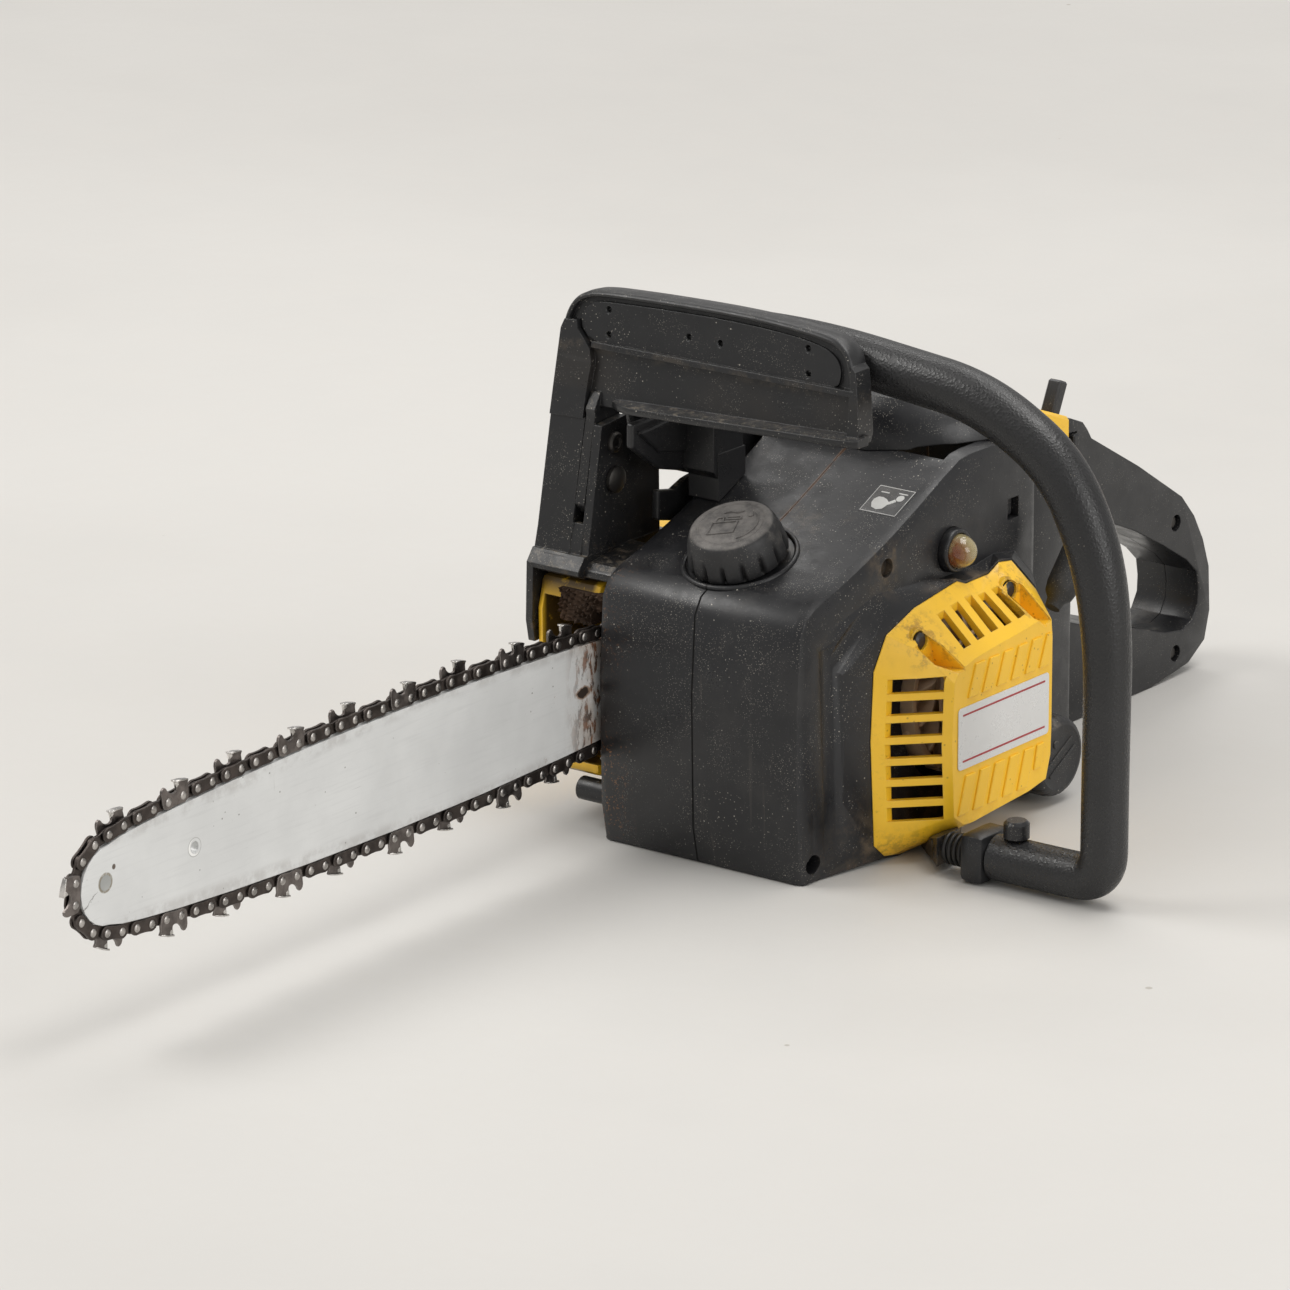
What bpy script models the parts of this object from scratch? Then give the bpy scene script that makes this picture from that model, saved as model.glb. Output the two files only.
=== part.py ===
"""Petrol chainsaw, 35 cm guide bar, tank-in-front clamshell body.

Frame: +Z up, -Y towards the bar nose, +X towards the starter (left) side.
The origin is on the flat underside, below the crankshaft axis and close to the
plane where the two housing halves meet.  All lengths are in millimetres.
"""

import math

import bmesh
import bpy
from mathutils import Matrix, Vector

for old in list(bpy.data.objects):
    bpy.data.objects.remove(old, do_unlink=True)

MM = 0.001
GAP = 0.3                      # air between neighbours that touch
SEAM_X = -0.8                  # where the two halves of the body meet
ALONG_X = (1, 0, 0)

# Places named with two numbers are (y, z).
CRANK_Z = 70.0                 # crankshaft, sprocket and bar centre line
CRANK = (0, CRANK_Z)
BODY_RIGHT = -56.0
BODY_LEFT = 58.0
BODY_REAR = 74.0
COVER_BASE_X = 66.0            # plane the starter cover stands on
COVER_FACE_X = 92.0            # its outer face
CAP_TILT = math.radians(21.5)  # slope of the tank roof
OIL_CAP = (58.0, 22.5)
PRIMER = (55.0, 3.5, 131.0)
CATCHER = (-96.0, 17.5)
CATCHER_RADIUS = 5.5
STUDS = (-84.0, -62.0)         # y of the two bar studs
STUD_RADIUS = 4.0


# ------------------------------------------------------------------ materials
def material(name, colour, roughness, metallic=0.0):
    mat = bpy.data.materials.new(name)
    mat.use_nodes = True
    shader = mat.node_tree.nodes["Principled BSDF"]
    shader.inputs["Base Color"].default_value = (*colour, 1.0)
    shader.inputs["Roughness"].default_value = roughness
    shader.inputs["Metallic"].default_value = metallic
    mat.diffuse_color = (*colour, 1.0)
    return mat


BLACK = material("black_plastic", colour=(0.018, 0.018, 0.020), roughness=0.5)
SOFT = material("soft_grip_black", colour=(0.014, 0.014, 0.015), roughness=0.4)
YELLOW = material("yellow_plastic", colour=(0.82, 0.47, 0.02), roughness=0.42)
BAR_PAINT = material("bar_paint", colour=(0.62, 0.65, 0.66), roughness=0.4, metallic=0.1)
STEEL = material("bright_steel", colour=(0.55, 0.55, 0.56), roughness=0.3, metallic=1.0)
CHAIN_STEEL = material("chain_steel", colour=(0.09, 0.075, 0.07), roughness=0.4, metallic=0.9)
ALUMINIUM = material("cast_aluminium", colour=(0.50, 0.50, 0.51), roughness=0.45, metallic=1.0)
RUST = material("rusty_steel", colour=(0.13, 0.06, 0.03), roughness=0.7, metallic=0.5)
AMBER = material("amber_bulb", colour=(0.75, 0.45, 0.12), roughness=0.12)
WHITE = material("white_label", colour=(0.75, 0.76, 0.78), roughness=0.35)
CREAM = material("cream_plastic", colour=(0.55, 0.47, 0.33), roughness=0.55)
FOAM = material("filter_foam", colour=(0.25, 0.22, 0.15), roughness=0.9)
SPRING = material("spring_steel", colour=(0.05, 0.05, 0.055), roughness=0.35, metallic=0.9)


# -------------------------------------------------------------- shape helpers
def corners(mesh, points):
    return [mesh.verts.new(Vector(point) * MM) for point in points]


def bridge(mesh, lower, upper):
    """Faces between two rings of corners; a ring may be a single point."""
    if len(lower) == 1 and len(upper) == 1:
        return
    count = max(len(lower), len(upper))
    for k in range(count):
        j = (k + 1) % count
        if len(lower) == 1:
            mesh.faces.new((lower[0], upper[k], upper[j]))
        elif len(upper) == 1:
            mesh.faces.new((lower[k], upper[0], lower[j]))
        else:
            mesh.faces.new((lower[k], upper[k], upper[j], lower[j]))


def faces_out(mesh):
    bmesh.ops.recalc_face_normals(mesh, faces=mesh.faces)
    return mesh


def at_x(x, outline):
    """A (y, z) outline as points in the plane at x."""
    return [(x, y, z) for y, z in outline]


def prism(outline, x_low, x_high):
    """A (y, z) outline drawn out along X."""
    mesh = bmesh.new()
    low = corners(mesh, at_x(x_low, outline))
    high = corners(mesh, at_x(x_high, outline))
    mesh.faces.new(low)
    mesh.faces.new(list(reversed(high)))
    bridge(mesh, low, high)
    return faces_out(mesh)


def box(x_low, x_high, y_low, y_high, z_low, z_high):
    outline = [(y_low, z_low), (y_high, z_low), (y_high, z_high), (y_low, z_high)]
    return prism(outline, x_low, x_high)


def loft(sections):
    """A skin over rings of points that all have the same count."""
    mesh = bmesh.new()
    rings = [corners(mesh, section) for section in sections]
    for lower, upper in zip(rings, rings[1:]):
        bridge(mesh, lower, upper)
    mesh.faces.new(rings[0])
    mesh.faces.new(list(reversed(rings[-1])))
    return faces_out(mesh)


def frame_of(direction):
    """Two directions across the given one, then its unit vector."""
    along = Vector(direction).normalized()
    across = along.orthogonal().normalized()
    if abs(along.x) > 0.99:
        across = Vector((0, 1, 0))
    return across, along.cross(across), along


def round_point(centre, across, upward, radius, turn):
    """The point at a fraction of a turn round a circle."""
    angle = 2 * math.pi * turn
    return centre + (across * math.cos(angle) + upward * math.sin(angle)) * radius


def circle(centre, across, upward, radius, segments):
    return [round_point(centre, across, upward, radius, k / segments) for k in range(segments)]


def lathe(profile, centre, direction, segments, closed=False):
    """Turn (radius, height) points about a line through centre."""
    across, upward, along = frame_of(direction)
    mesh = bmesh.new()
    rings = []
    for radius, height in profile:
        middle = Vector(centre) + along * height
        if radius < 1e-9:
            rings.append(corners(mesh, [middle]))
        else:
            rings.append(corners(mesh, circle(middle, across, upward, radius, segments)))
    for lower, upper in zip(rings, rings[1:]):
        bridge(mesh, lower, upper)
    if closed:
        bridge(mesh, rings[-1], rings[0])
    else:
        for ring in (rings[0], rings[-1]):
            if len(ring) > 1:
                mesh.faces.new(ring)
    return faces_out(mesh)


def rod(start, end, radius, segments):
    reach = Vector(end) - Vector(start)
    return lathe([(radius, 0), (radius, reach.length)], start, reach, segments)


def x_rod(x_start, x_end, centre, radius, segments):
    """A rod along X about a (y, z) centre."""
    return rod((x_start, *centre), (x_end, *centre), radius, segments)


def sweep(path, radius_at, segments):
    """A round bar along a list of points; radius_at gives its radius at a point."""
    mesh = bmesh.new()
    points = [Vector(point) for point in path]
    last = len(points) - 1
    rings = []
    normal = None
    for i, point in enumerate(points):
        tangent = (points[min(i + 1, last)] - points[max(i - 1, 0)]).normalized()
        if normal is None:
            normal = tangent.orthogonal()
        else:
            normal = normal - tangent * normal.dot(tangent)
        normal.normalize()
        side = tangent.cross(normal)
        rings.append(corners(mesh, circle(point, normal, side, radius_at(point), segments)))
    for lower, upper in zip(rings, rings[1:]):
        bridge(mesh, lower, upper)
    mesh.faces.new(rings[0])
    mesh.faces.new(rings[-1])
    return faces_out(mesh)


def rounded_path(points, radius, steps):
    """A polyline with each corner replaced by a quadratic curve."""
    points = [Vector(point) for point in points]
    path = [points[0]]
    for before, corner, after in zip(points, points[1:], points[2:]):
        back = before - corner
        ahead = after - corner
        trim = min(radius, back.length * 0.48, ahead.length * 0.48)
        start = corner + back.normalized() * trim
        end = corner + ahead.normalized() * trim
        for k in range(steps + 1):
            t = k / steps
            path.append(start * (1 - t) ** 2 + corner * 2 * t * (1 - t) + end * t * t)
    path.append(points[-1])
    return path


def helix(centre, direction, radius, pitch, turns, per_turn):
    across, upward, along = frame_of(direction)
    return [
        round_point(Vector(centre) + along * (pitch * k / per_turn),
                    across, upward, radius, k / per_turn)
        for k in range(int(turns * per_turn) + 1)
    ]


def offset_outline(outline, amount):
    """Move each corner of an outline out from the mean of its corners."""
    middle_y = sum(y for y, z in outline) / len(outline)
    middle_z = sum(z for y, z in outline) / len(outline)
    moved = []
    for y, z in outline:
        distance = math.hypot(y - middle_y, z - middle_z)
        moved.append((y + (y - middle_y) / distance * amount,
                      z + (z - middle_z) / distance * amount))
    return moved


def half_turn(centre, radius, start, steps):
    """(y, z) points half way round a circle, both ends included."""
    angles = [start + math.pi * k / steps for k in range(steps + 1)]
    return [(centre[0] + radius * math.cos(angle), centre[1] + radius * math.sin(angle))
            for angle in angles]


# ------------------------------------------------------------- object helpers
def piece(name, shape, mat=None, origin=(0, 0, 0), smooth=False):
    mesh = bpy.data.meshes.new(name)
    location = Vector(origin) * MM
    bmesh.ops.translate(shape, verts=shape.verts, vec=-location)
    shape.to_mesh(mesh)
    shape.free()
    obj = bpy.data.objects.new(name, mesh)
    obj.location = location
    bpy.context.scene.collection.objects.link(obj)
    if mat:
        mesh.materials.append(mat)
    if smooth:
        mesh.shade_smooth()
        mesh.set_sharp_from_angle(angle=math.radians(35))
    return obj


helper_count = 0


def boolean(obj, shape, operation):
    """Combine obj with a numbered hidden helper made from shape."""
    global helper_count
    helper_count += 1
    mod = obj.modifiers.new("%s_%d" % (operation.lower(), len(obj.modifiers)), "BOOLEAN")
    mod.operation = operation
    mod.solver = "EXACT"
    mod.object = piece("helper_%03d" % helper_count, shape)
    mod.object.hide_render = True
    mod.object.display_type = "WIRE"


def add(obj, *shapes):
    for shape in shapes:
        boolean(obj, shape, "UNION")


def cut(obj, *shapes):
    for shape in shapes:
        boolean(obj, shape, "DIFFERENCE")


def bevel(obj, width, segments=2, angle=40):
    mod = obj.modifiers.new("bevel_%d" % len(obj.modifiers), "BEVEL")
    mod.width = width * MM
    mod.segments = segments
    mod.limit_method = "ANGLE"
    mod.angle_limit = math.radians(angle)
    mod.use_clamp_overlap = True


def bevelled(name, shape, mat, width, segments, angle=40, origin=(0, 0, 0)):
    obj = piece(name, shape, mat, origin)
    bevel(obj, width, segments, angle)
    return obj


def joint_axis(name, location, members):
    """An empty on a joint; its members hang on it without moving."""
    joint = bpy.data.objects.new(name, None)
    joint.location = Vector(location) * MM
    bpy.context.scene.collection.objects.link(joint)
    for obj in members:
        obj.parent = joint
        obj.matrix_parent_inverse = Matrix.Translation(-joint.location)


def beyond_seam(left, reach, y_low, y_high, z_high):
    """The space a left or right half leaves to the other half."""
    if left:
        x_range = (-reach, SEAM_X + GAP / 2)
    else:
        x_range = (SEAM_X - GAP / 2, reach)
    return box(*x_range, y_low, y_high, -10, z_high)


# ------------------------------------------------------------ front clamshell
def roof(y):
    """Height of the sloping, slightly hollow tank roof."""
    return 128.0 + (y + 100.0) * math.tan(CAP_TILT) - 3.0 * math.sin(math.pi * (y + 100.0) / 100.0)


CAP_AXIS = Vector((0, -math.sin(CAP_TILT), math.cos(CAP_TILT)))
CAP_SEAT = Vector((-1.0, -76.5, roof(-76.5)))

SHELL_SIDE = [  # y, z
    (-108.5, 0), (-112, 18), (-113, 80), (-110.5, 117), (-106, 124.5), (-98, 128.8),
    *[(y, roof(y)) for y in (-80, -60, -40, -20)],
    (0, 167.4), (12, 172.5), (20, 173.4), (BODY_REAR, 173.4), (BODY_REAR, 6), (68, 0),
]
TANK_SIDE = [  # y, z of the fuel tank's inside
    (-104, 7), (-104, 116), (-96, 120),
    *[(y, roof(y) - 6) for y in (-80, -60)],
    (-40, roof(-40) - 7), (-40, 7),
]
COVER_OUTLINE = [  # y, z of the starter cover where it stands on the flank
    (-58, 3.0), (-66.0, 10), (-69.0, 60), (-67.0, 92), (-57.5, 107), (-36, 114.5),
    (-3, 119), (4, 116.2), (22, 116.4), (30, 120), (40, 118.5), (60, 100), (60, 88), (53, 76),
    (49, 60), (42, 44), (36.5, 32), (33, 20), (18, 10.0), (-46, 0.8),
]
FACE_OUTLINE = [  # y, z of its outer face
    (-33, 16.5), (-40.5, 22), (-42.5, 56), (-41, 85), (-37, 90), (-24, 93),
    (-6, 95), (2, 95.6), (16, 97), (24, 98), (28, 98.2), (35, 96.5), (36, 88), (36, 76),
    (36, 60), (36, 44), (35.5, 32), (32, 21), (18, 18.6), (-26, 15.8),
]
FLANK_OUTLINE = [  # y, z where the swelling that carries it leaves the flank
    (-98, 0.2), (-105, 12), (-106, 60), (-104, 106), (-94, 116), (-60, 124),
    (-16, 121), (-2, 119.5), (24, 119), (38, 121), (56, 118), (70, 104), (73.4, 88), (73.6, 76),
    (73.6, 60), (73.6, 44), (73.6, 32), (73.6, 10), (40, 0.2), (-50, 0.2),
]
HANDLE_Y = -49.0               # the front handle's left leg and its mount
HANDLE_BOLT = (HANDLE_Y, 10.8)


def soften_shell(obj):
    """Round the rims of the two flanks, the edges it stands on only a little."""
    mesh = obj.data
    weight = mesh.attributes.new("bevel_weight_edge", "FLOAT", "EDGE")
    for edge in mesh.edges:
        start, end = (mesh.vertices[v].co for v in edge.vertices)
        if start.z < 0.0005 and end.z < 0.0005:
            amount = 0.3
        elif abs((start - end).normalized().x) > 0.9:
            amount = 0.0
        else:
            amount = 1.0
        weight.data[edge.index].value = amount
    mod = obj.modifiers.new("soft_edges", "BEVEL")
    mod.width = 6.5 * MM
    mod.segments = 2
    mod.limit_method = "WEIGHT"
    mod.use_clamp_overlap = True


def swell_left_flank(obj):
    """The swelling, oil cap boss and spring arm, and the seat of the starter cover."""
    swelling_rim = [(x, y, max(z, 0.1)) for x, y, z in
                    at_x(COVER_BASE_X - GAP, offset_outline(COVER_OUTLINE, 1.2))]
    spring_arm = [
        [(60, -24, 0.2), (60, 12, 0.2), (60, 12, 7.0), (60, -24, 3.0)],
        [(94.4, -57, 3.6), (94.4, -41, 3.6), (94.4, -41, 17.0), (94.4, -57, 17.0)],
    ]
    add(obj, loft([at_x(48, FLANK_OUTLINE), at_x(57.0, FLANK_OUTLINE), swelling_rim]),
        x_rod(50, 64.6, OIL_CAP, 21.2, 28),
        loft(spring_arm))
    # hollows behind the front corner
    cut(obj, rod((70.5, -91.5, -12), (68.2, -93.5, 108), 11.0, 20),
        rod((68.2, -96.0, 96), (70.2, -54, 126), 10.4, 20))
    cut(obj, loft([at_x(COVER_BASE_X - 0.1, offset_outline(COVER_OUTLINE, 0.4)),
                   at_x(COVER_FACE_X + 0.4, offset_outline(FACE_OUTLINE, 0.4))]))


def hollow_shell(obj, left):
    """Fuel tank in front, engine bay behind it, open at the top."""
    cut(obj, prism(TANK_SIDE, -49, 51))
    # the left half keeps a block in the bay's rear corner for the oil tank
    floor_rear = [(34, 11), (34, 47), (68, 47)] if left else [(68, 11)]
    bay = [(-33, 11), *floor_rear, (68, 180), (8, 180), (8, 165.5), (-33, 147.5)]
    cut(obj, prism(bay, -49.5, 50.5))
    cut(obj, rod((0, 60, 128), (0, 80, 128), 15, 24))               # intake passage
    cut(obj, lathe([(14.0, -20), (14.0, 20)], CAP_SEAT, CAP_AXIS, 24),
        lathe([(25.0, 0.6), (25.0, 14)], CAP_SEAT, CAP_AXIS, 32))


def cut_left_openings(obj):
    cut(obj, box(6, 46, 38.5, 69, 7, 41))                           # oil tank
    cut(obj, x_rod(40, 70, OIL_CAP, 12.5, 24))
    cut(obj, x_rod(45, 70, CRANK, 46, 32))                          # flywheel well
    cut(obj, lathe([(10.5, -16), (10.5, 16)], PRIMER, ALONG_X, 24))
    cut(obj, box(49, 60, 48, 57, 134, 144))                         # square opening, upper rear
    cut(obj, x_rod(54, 62, (-46, 134), 4.5, 14),                    # round pocket, upper front
        x_rod(50, 70, (-101, 9.0), 4.6, 14))                        # round hole, lower front


def cut_right_openings(obj):
    cut(obj, x_rod(-60, -45, CRANK, 24, 28))
    cut(obj, box(-60, -45, -26, 62, 120, 168))                      # window at the muffler
    cut(obj, x_rod(-60, -47.5, CATCHER, CATCHER_RADIUS + GAP, 16))
    for y in STUDS:
        cut(obj, x_rod(-60, -45, (y, CRANK_Z), STUD_RADIUS + GAP, 12))


def housing_half(name, left):
    obj = piece(name, prism(SHELL_SIDE, BODY_RIGHT, BODY_LEFT), BLACK)
    soften_shell(obj)
    if left:
        swell_left_flank(obj)
    hollow_shell(obj, left)
    if left:
        cut_left_openings(obj)
    else:
        cut_right_openings(obj)
    cut(obj, beyond_seam(left, 90, -130, 90, 190))
    if left:
        cut(obj, x_rod(70, 100, HANDLE_BOLT, 2.2, 12))
    return obj


def rear_housing():
    """Box behind the engine, open towards the front."""
    side = [(BODY_REAR + GAP, 6), (80, 1.5), (114, 1.5), (121.5, 9), (121.5, 138),
            (115, 150.5), (98, 163), (88, 172), (BODY_REAR + GAP, 173)]
    inside = [(70, 10), (116, 10), (116, 134), (109, 147), (94, 157), (80, 164), (70, 168)]
    obj = bevelled("rear_housing", prism(side, -44, 46), BLACK, 5.0, 2, angle=50)
    cut(obj, prism(inside, -39, 41))


# ------------------------------------------------------------ caps and primer
# Turned profiles here and below are (radius, height along the axis).
def fuel_cap():
    profile = [(0, -7), (12.5, -7), (12.5, 1.2), (23.0, 1.2), (23.2, 9.0), (21.0, 17.0),
               (18.6, 19.6), (17.4, 20.2), (0, 20.2)]
    piece("fuel_cap", lathe(profile, CAP_SEAT, CAP_AXIS, 32), BLACK, CAP_SEAT, True)


def oil_cap():
    profile = [(0, -10), (11.5, -10), (11.5, 0.4), (18.4, 0.4), (19.2, 2), (19.2, 14),
               (17.8, 16.8), (15.4, 17.8), (0, 17.8)]
    seat = (65.0, *OIL_CAP)
    piece("oil_cap", lathe(profile, seat, ALONG_X, 28), BLACK, seat, True)


def primer():
    base = [(10.2, -5), (10.2, 6.0), (9.6, 6.8), (8.3, 6.8), (8.3, -3.5), (3.0, -3.5), (3.0, -5)]
    bulb = [(0, -0.2), (7.7, -0.2), (7.7, 4.2), (7.9, 8.0), (7.1, 11.6), (5.0, 14.4),
            (2.4, 15.8), (0, 16.2)]
    piece("primer_base", lathe(base, PRIMER, ALONG_X, 20, closed=True), BLACK)
    piece("primer_bulb", lathe(bulb, PRIMER, ALONG_X, 20), AMBER, PRIMER, True)


# ------------------------------------------------------------- starter cover
STARTER_SCREWS = {"front": (-42.5, 102.0), "rear": (27.0, 109.0)}
SCREW_PROFILE = [(0, -8), (2.0, -8), (2.0, 0), (3.9, 0), (3.9, 1.8), (2.6, 2.8), (0, 2.8)]
SCREW_RECESSES = [  # y, z of the angular recesses over the screws
    [(-49, 101.5), (-41, 107.5), (-36.4, 99), (-33.5, 88.5), (-38.5, 88.5), (-44.5, 92.5)],
    [(21.5, 108.5), (27, 115.5), (33.5, 110), (33.8, 95), (30, 93.5), (24, 98)],
]
COVER_REAR_LUG = [  # x, y, z of a lug on the cover's rear edge
    [(78, 33, 76), (86, 33, 76), (86, 42.5, 78.5), (80, 42.5, 78.5)],
    [(78, 33, 82), (86, 33, 82), (86, 43.5, 82), (80, 43.5, 82)],
    [(78, 33, 93), (86, 33, 93), (86, 36, 92), (80, 36, 92)],
]
FRONT_LOUVRE_PITCH = 10.04
ROOF_LOUVRE_PITCH = 10.6


def starter_screw(tag, centre, housing_left):
    cut(housing_left, x_rod(55, 80, centre, 2.4, 12))
    piece("starter_screw_" + tag, lathe(SCREW_PROFILE, (72.3, *centre), ALONG_X, 14), STEEL)


def starter_cover(housing_left):
    """The cover and its two screws, which also drill the left housing."""
    obj = piece("starter_cover", loft([at_x(COVER_BASE_X, COVER_OUTLINE),
                                       at_x(COVER_FACE_X, FACE_OUTLINE)]), YELLOW)
    cut(obj, loft([at_x(COVER_BASE_X - 1, offset_outline(COVER_OUTLINE, -3.2)),
                   at_x(COVER_FACE_X - 3.0, offset_outline(FACE_OUTLINE, -2.2))]))
    for centre in STARTER_SCREWS.values():
        add(obj, x_rod(COVER_BASE_X + 0.4, 73, centre, 6.0, 16))
    for k in range(7):
        z = 21.2 + FRONT_LOUVRE_PITCH * k
        cut(obj, box(70.5, 88.6, -80, -41, z, z + 6.7))
    for k in range(5):
        y = -27.0 + ROOF_LOUVRE_PITCH * k
        cut(obj, box(72, 87, y, y + 5.6, 90, 125))
    for centre in STARTER_SCREWS.values():
        cut(obj, x_rod(72, 100, centre, 4.6, 16), x_rod(60, 80, centre, 2.4, 12))
    for tag, centre in STARTER_SCREWS.items():
        starter_screw(tag, centre, housing_left)
    for recess in SCREW_RECESSES:
        mouth = [(96, y, z + 2.0) for y, z in offset_outline(recess, 1.6)]
        cut(obj, loft([at_x(75.6, recess), mouth]))
    add(obj, x_rod(73.0, COVER_FACE_X - 1.5, CRANK, 4.0, 16))       # post for the pulley
    add(obj, loft(COVER_REAR_LUG))


# ------------------------------------------------------------- starter works
PULLEY_SEAT = (73.5, *CRANK)


def starter_pulley():
    profile = [(4.4, 0), (27, 0), (27, 1.6), (22.5, 2.2), (22.5, 5.8), (27, 6.4), (27, 8.0),
               (4.4, 8.0)]
    shape = lathe(profile, PULLEY_SEAT, ALONG_X, 32, closed=True)
    return piece("starter_pulley", shape, CREAM, PULLEY_SEAT, True)


def starter_rope():
    profile = [(22.9, 2.6), (26.2, 2.6), (26.2, 5.4), (22.9, 5.4)]
    shape = lathe(profile, PULLEY_SEAT, ALONG_X, 32, closed=True)
    return piece("starter_rope", shape, SOFT, PULLEY_SEAT, True)


def recoil_spring():
    profile = [(6, 9.0), (20, 9.0), (20, 11.4), (6, 11.4)]
    piece("recoil_spring", lathe(profile, (76, *CRANK), ALONG_X, 24, closed=True), SPRING)


def starter_grip():
    seat = Vector((77.5, 68.5, 106.0))
    pull = Vector((0, 0.69, 0.72)).normalized()
    profile = [(0, -17), (3.6, -17), (4.2, -13), (6.6, -10), (7.6, -5), (7.8, 8), (8.2, 20),
               (7.2, 25), (4.6, 27.6), (0, 28.2)]
    piece("starter_grip", lathe(profile, seat, pull, 18), SOFT, seat, True)


# --------------------------------------------------------------- front handle
HANDLE_RADIUS = 11.0
HANDLE_CORNERS = [  # x, y, z from the right mount over the top and down the left leg
    (-82.5, -37, 170.0), (-82, -39, 224), (20, -47, 231), (112, HANDLE_Y, 222.5),
    (154, HANDLE_Y, 198.5), (173, HANDLE_Y, 162), (179.5, HANDLE_Y, 122),
    (179.0, HANDLE_Y, 60), (179.0, HANDLE_Y, 12.2), (150, HANDLE_Y, 11.8),
    (121.8, HANDLE_Y, 11.8),
]


def grip_radius(point):
    """The moulded grip is fuller on top and in the bend than down the leg."""
    t = min(max((point.z - 90.0) / 90.0, 0.0), 1.0) if point.x > 60 else 1.0
    return HANDLE_RADIUS - 0.4 + 1.5 * t * t * (3 - 2 * t)


def front_handle():
    path = rounded_path(HANDLE_CORNERS, radius=34, steps=5)
    piece("front_handle", sweep(path, grip_radius, 18), SOFT, smooth=True)
    stud = [(0, 0), (6.0, 0), (6.0, 6.5), (4.6, 8.0), (0, 8.0)]
    piece("handle_stud", lathe(stud, (132, HANDLE_Y, 23.1), (0, 0, 1), 14), BLACK, smooth=True)


def left_mount():
    block = box(108.4, 121.4, HANDLE_Y - 12, HANDLE_Y + 12, 0.4, 23.5)
    bevelled("handle_mount_left", block, BLACK, 3.5, 2)
    coil = helix((95.8, HANDLE_Y, 11), ALONG_X, radius=6.6, pitch=2.75, turns=4.0, per_turn=10)
    piece("av_spring", sweep(coil, lambda point: 1.15, 6), SPRING, smooth=True)


def right_mount():
    foot = [(-46.6, 169.6), (-46, 166.5), (-39, 161), (-27, 157), (-23, 160), (-24, 169.6)]
    upright = [(-47, 162), (-44, 158.5), (-26, 157.8), (-25, 160), (-25, 191), (-47, 191)]
    root = [(-44, 147.8), (-40, 149.4), (-24, 156.6), (-24, 170), (-44, 170)]
    obj = bevelled("handle_mount_right", prism(foot, -94, -46), BLACK, 2.5, 2)
    add(obj, prism(upright, -67.5, -38))
    add(obj, prism(root, -54.6, -37.4))


# -------------------------------------------------------- guide bar and chain
CHAIN_PITCH = 9.525            # rivet to rivet, 3/8 inch low profile
DRIVE_LINKS = 53
SPROCKET_TEETH = 6
NOSE_TEETH = 7
SPROCKET_RADIUS = SPROCKET_TEETH * CHAIN_PITCH / math.pi
NOSE_RADIUS = NOSE_TEETH * CHAIN_PITCH / math.pi
BAR_X = -60.0                  # centre plane of the bar
BAR_THICK = 4.2
RAIL_DROP = 3.7                # rivet line down to the bar rail
BAR_BELLY = 9.8 * 1.12         # how far the rivet line swells past a straight taper
BAR_TAIL = -34.0
BAR_STATIONS = [8, 22, 45, 80, 130, 190, 250, 310, 360]     # outline corners behind the nose
CHAIN_OUT = 3.9                # rivet line out to the chain's back
CHAIN_IN = 3.1                 # and in to its foot
CHAIN_HALF_WIDTH = 2.9


def rivet_half(distance, length):
    """Half height of the rivet line at a distance behind the nose centre."""
    t = distance / length
    belly = math.sin(math.pi * t * 1.02) ** 0.62 if t < 0.98 else 0.0
    return NOSE_RADIUS + (SPROCKET_RADIUS - NOSE_RADIUS) * t + BAR_BELLY * belly


def rivet_line(length, count):
    """The closed rivet line (y, z above the crankshaft) of a bar of this length."""
    stations = [length * (1 - math.cos(math.pi * k / count)) / 2 for k in range(1, count)]
    top = [(-length + s, rivet_half(s, length)) for s in reversed(stations)]
    bottom = [(-length + s, -rivet_half(s, length)) for s in stations]
    nose = half_turn((-length, 0), NOSE_RADIUS, math.pi / 2, 16)
    sprocket = half_turn((0, 0), SPROCKET_RADIUS, -math.pi / 2, 16)
    return top + nose + bottom + sprocket


def bar_length():
    """The chain's length fixes how far the nose is from the sprocket."""
    length = 440.0
    for _ in range(12):
        line = rivet_line(length, 120)
        around = sum(math.dist(here, ahead) for here, ahead in zip(line, line[1:] + line[:1]))
        length += (DRIVE_LINKS * 2 * CHAIN_PITCH - around) / 2
    return length


BAR_LENGTH = bar_length()
NOSE_Y = -BAR_LENGTH
NOSE = (NOSE_Y, CRANK_Z)


def bar_hole(y, z, radius, segments):
    return x_rod(BAR_X - 5, BAR_X + 5, (y, CRANK_Z + z), radius, segments)


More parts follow.
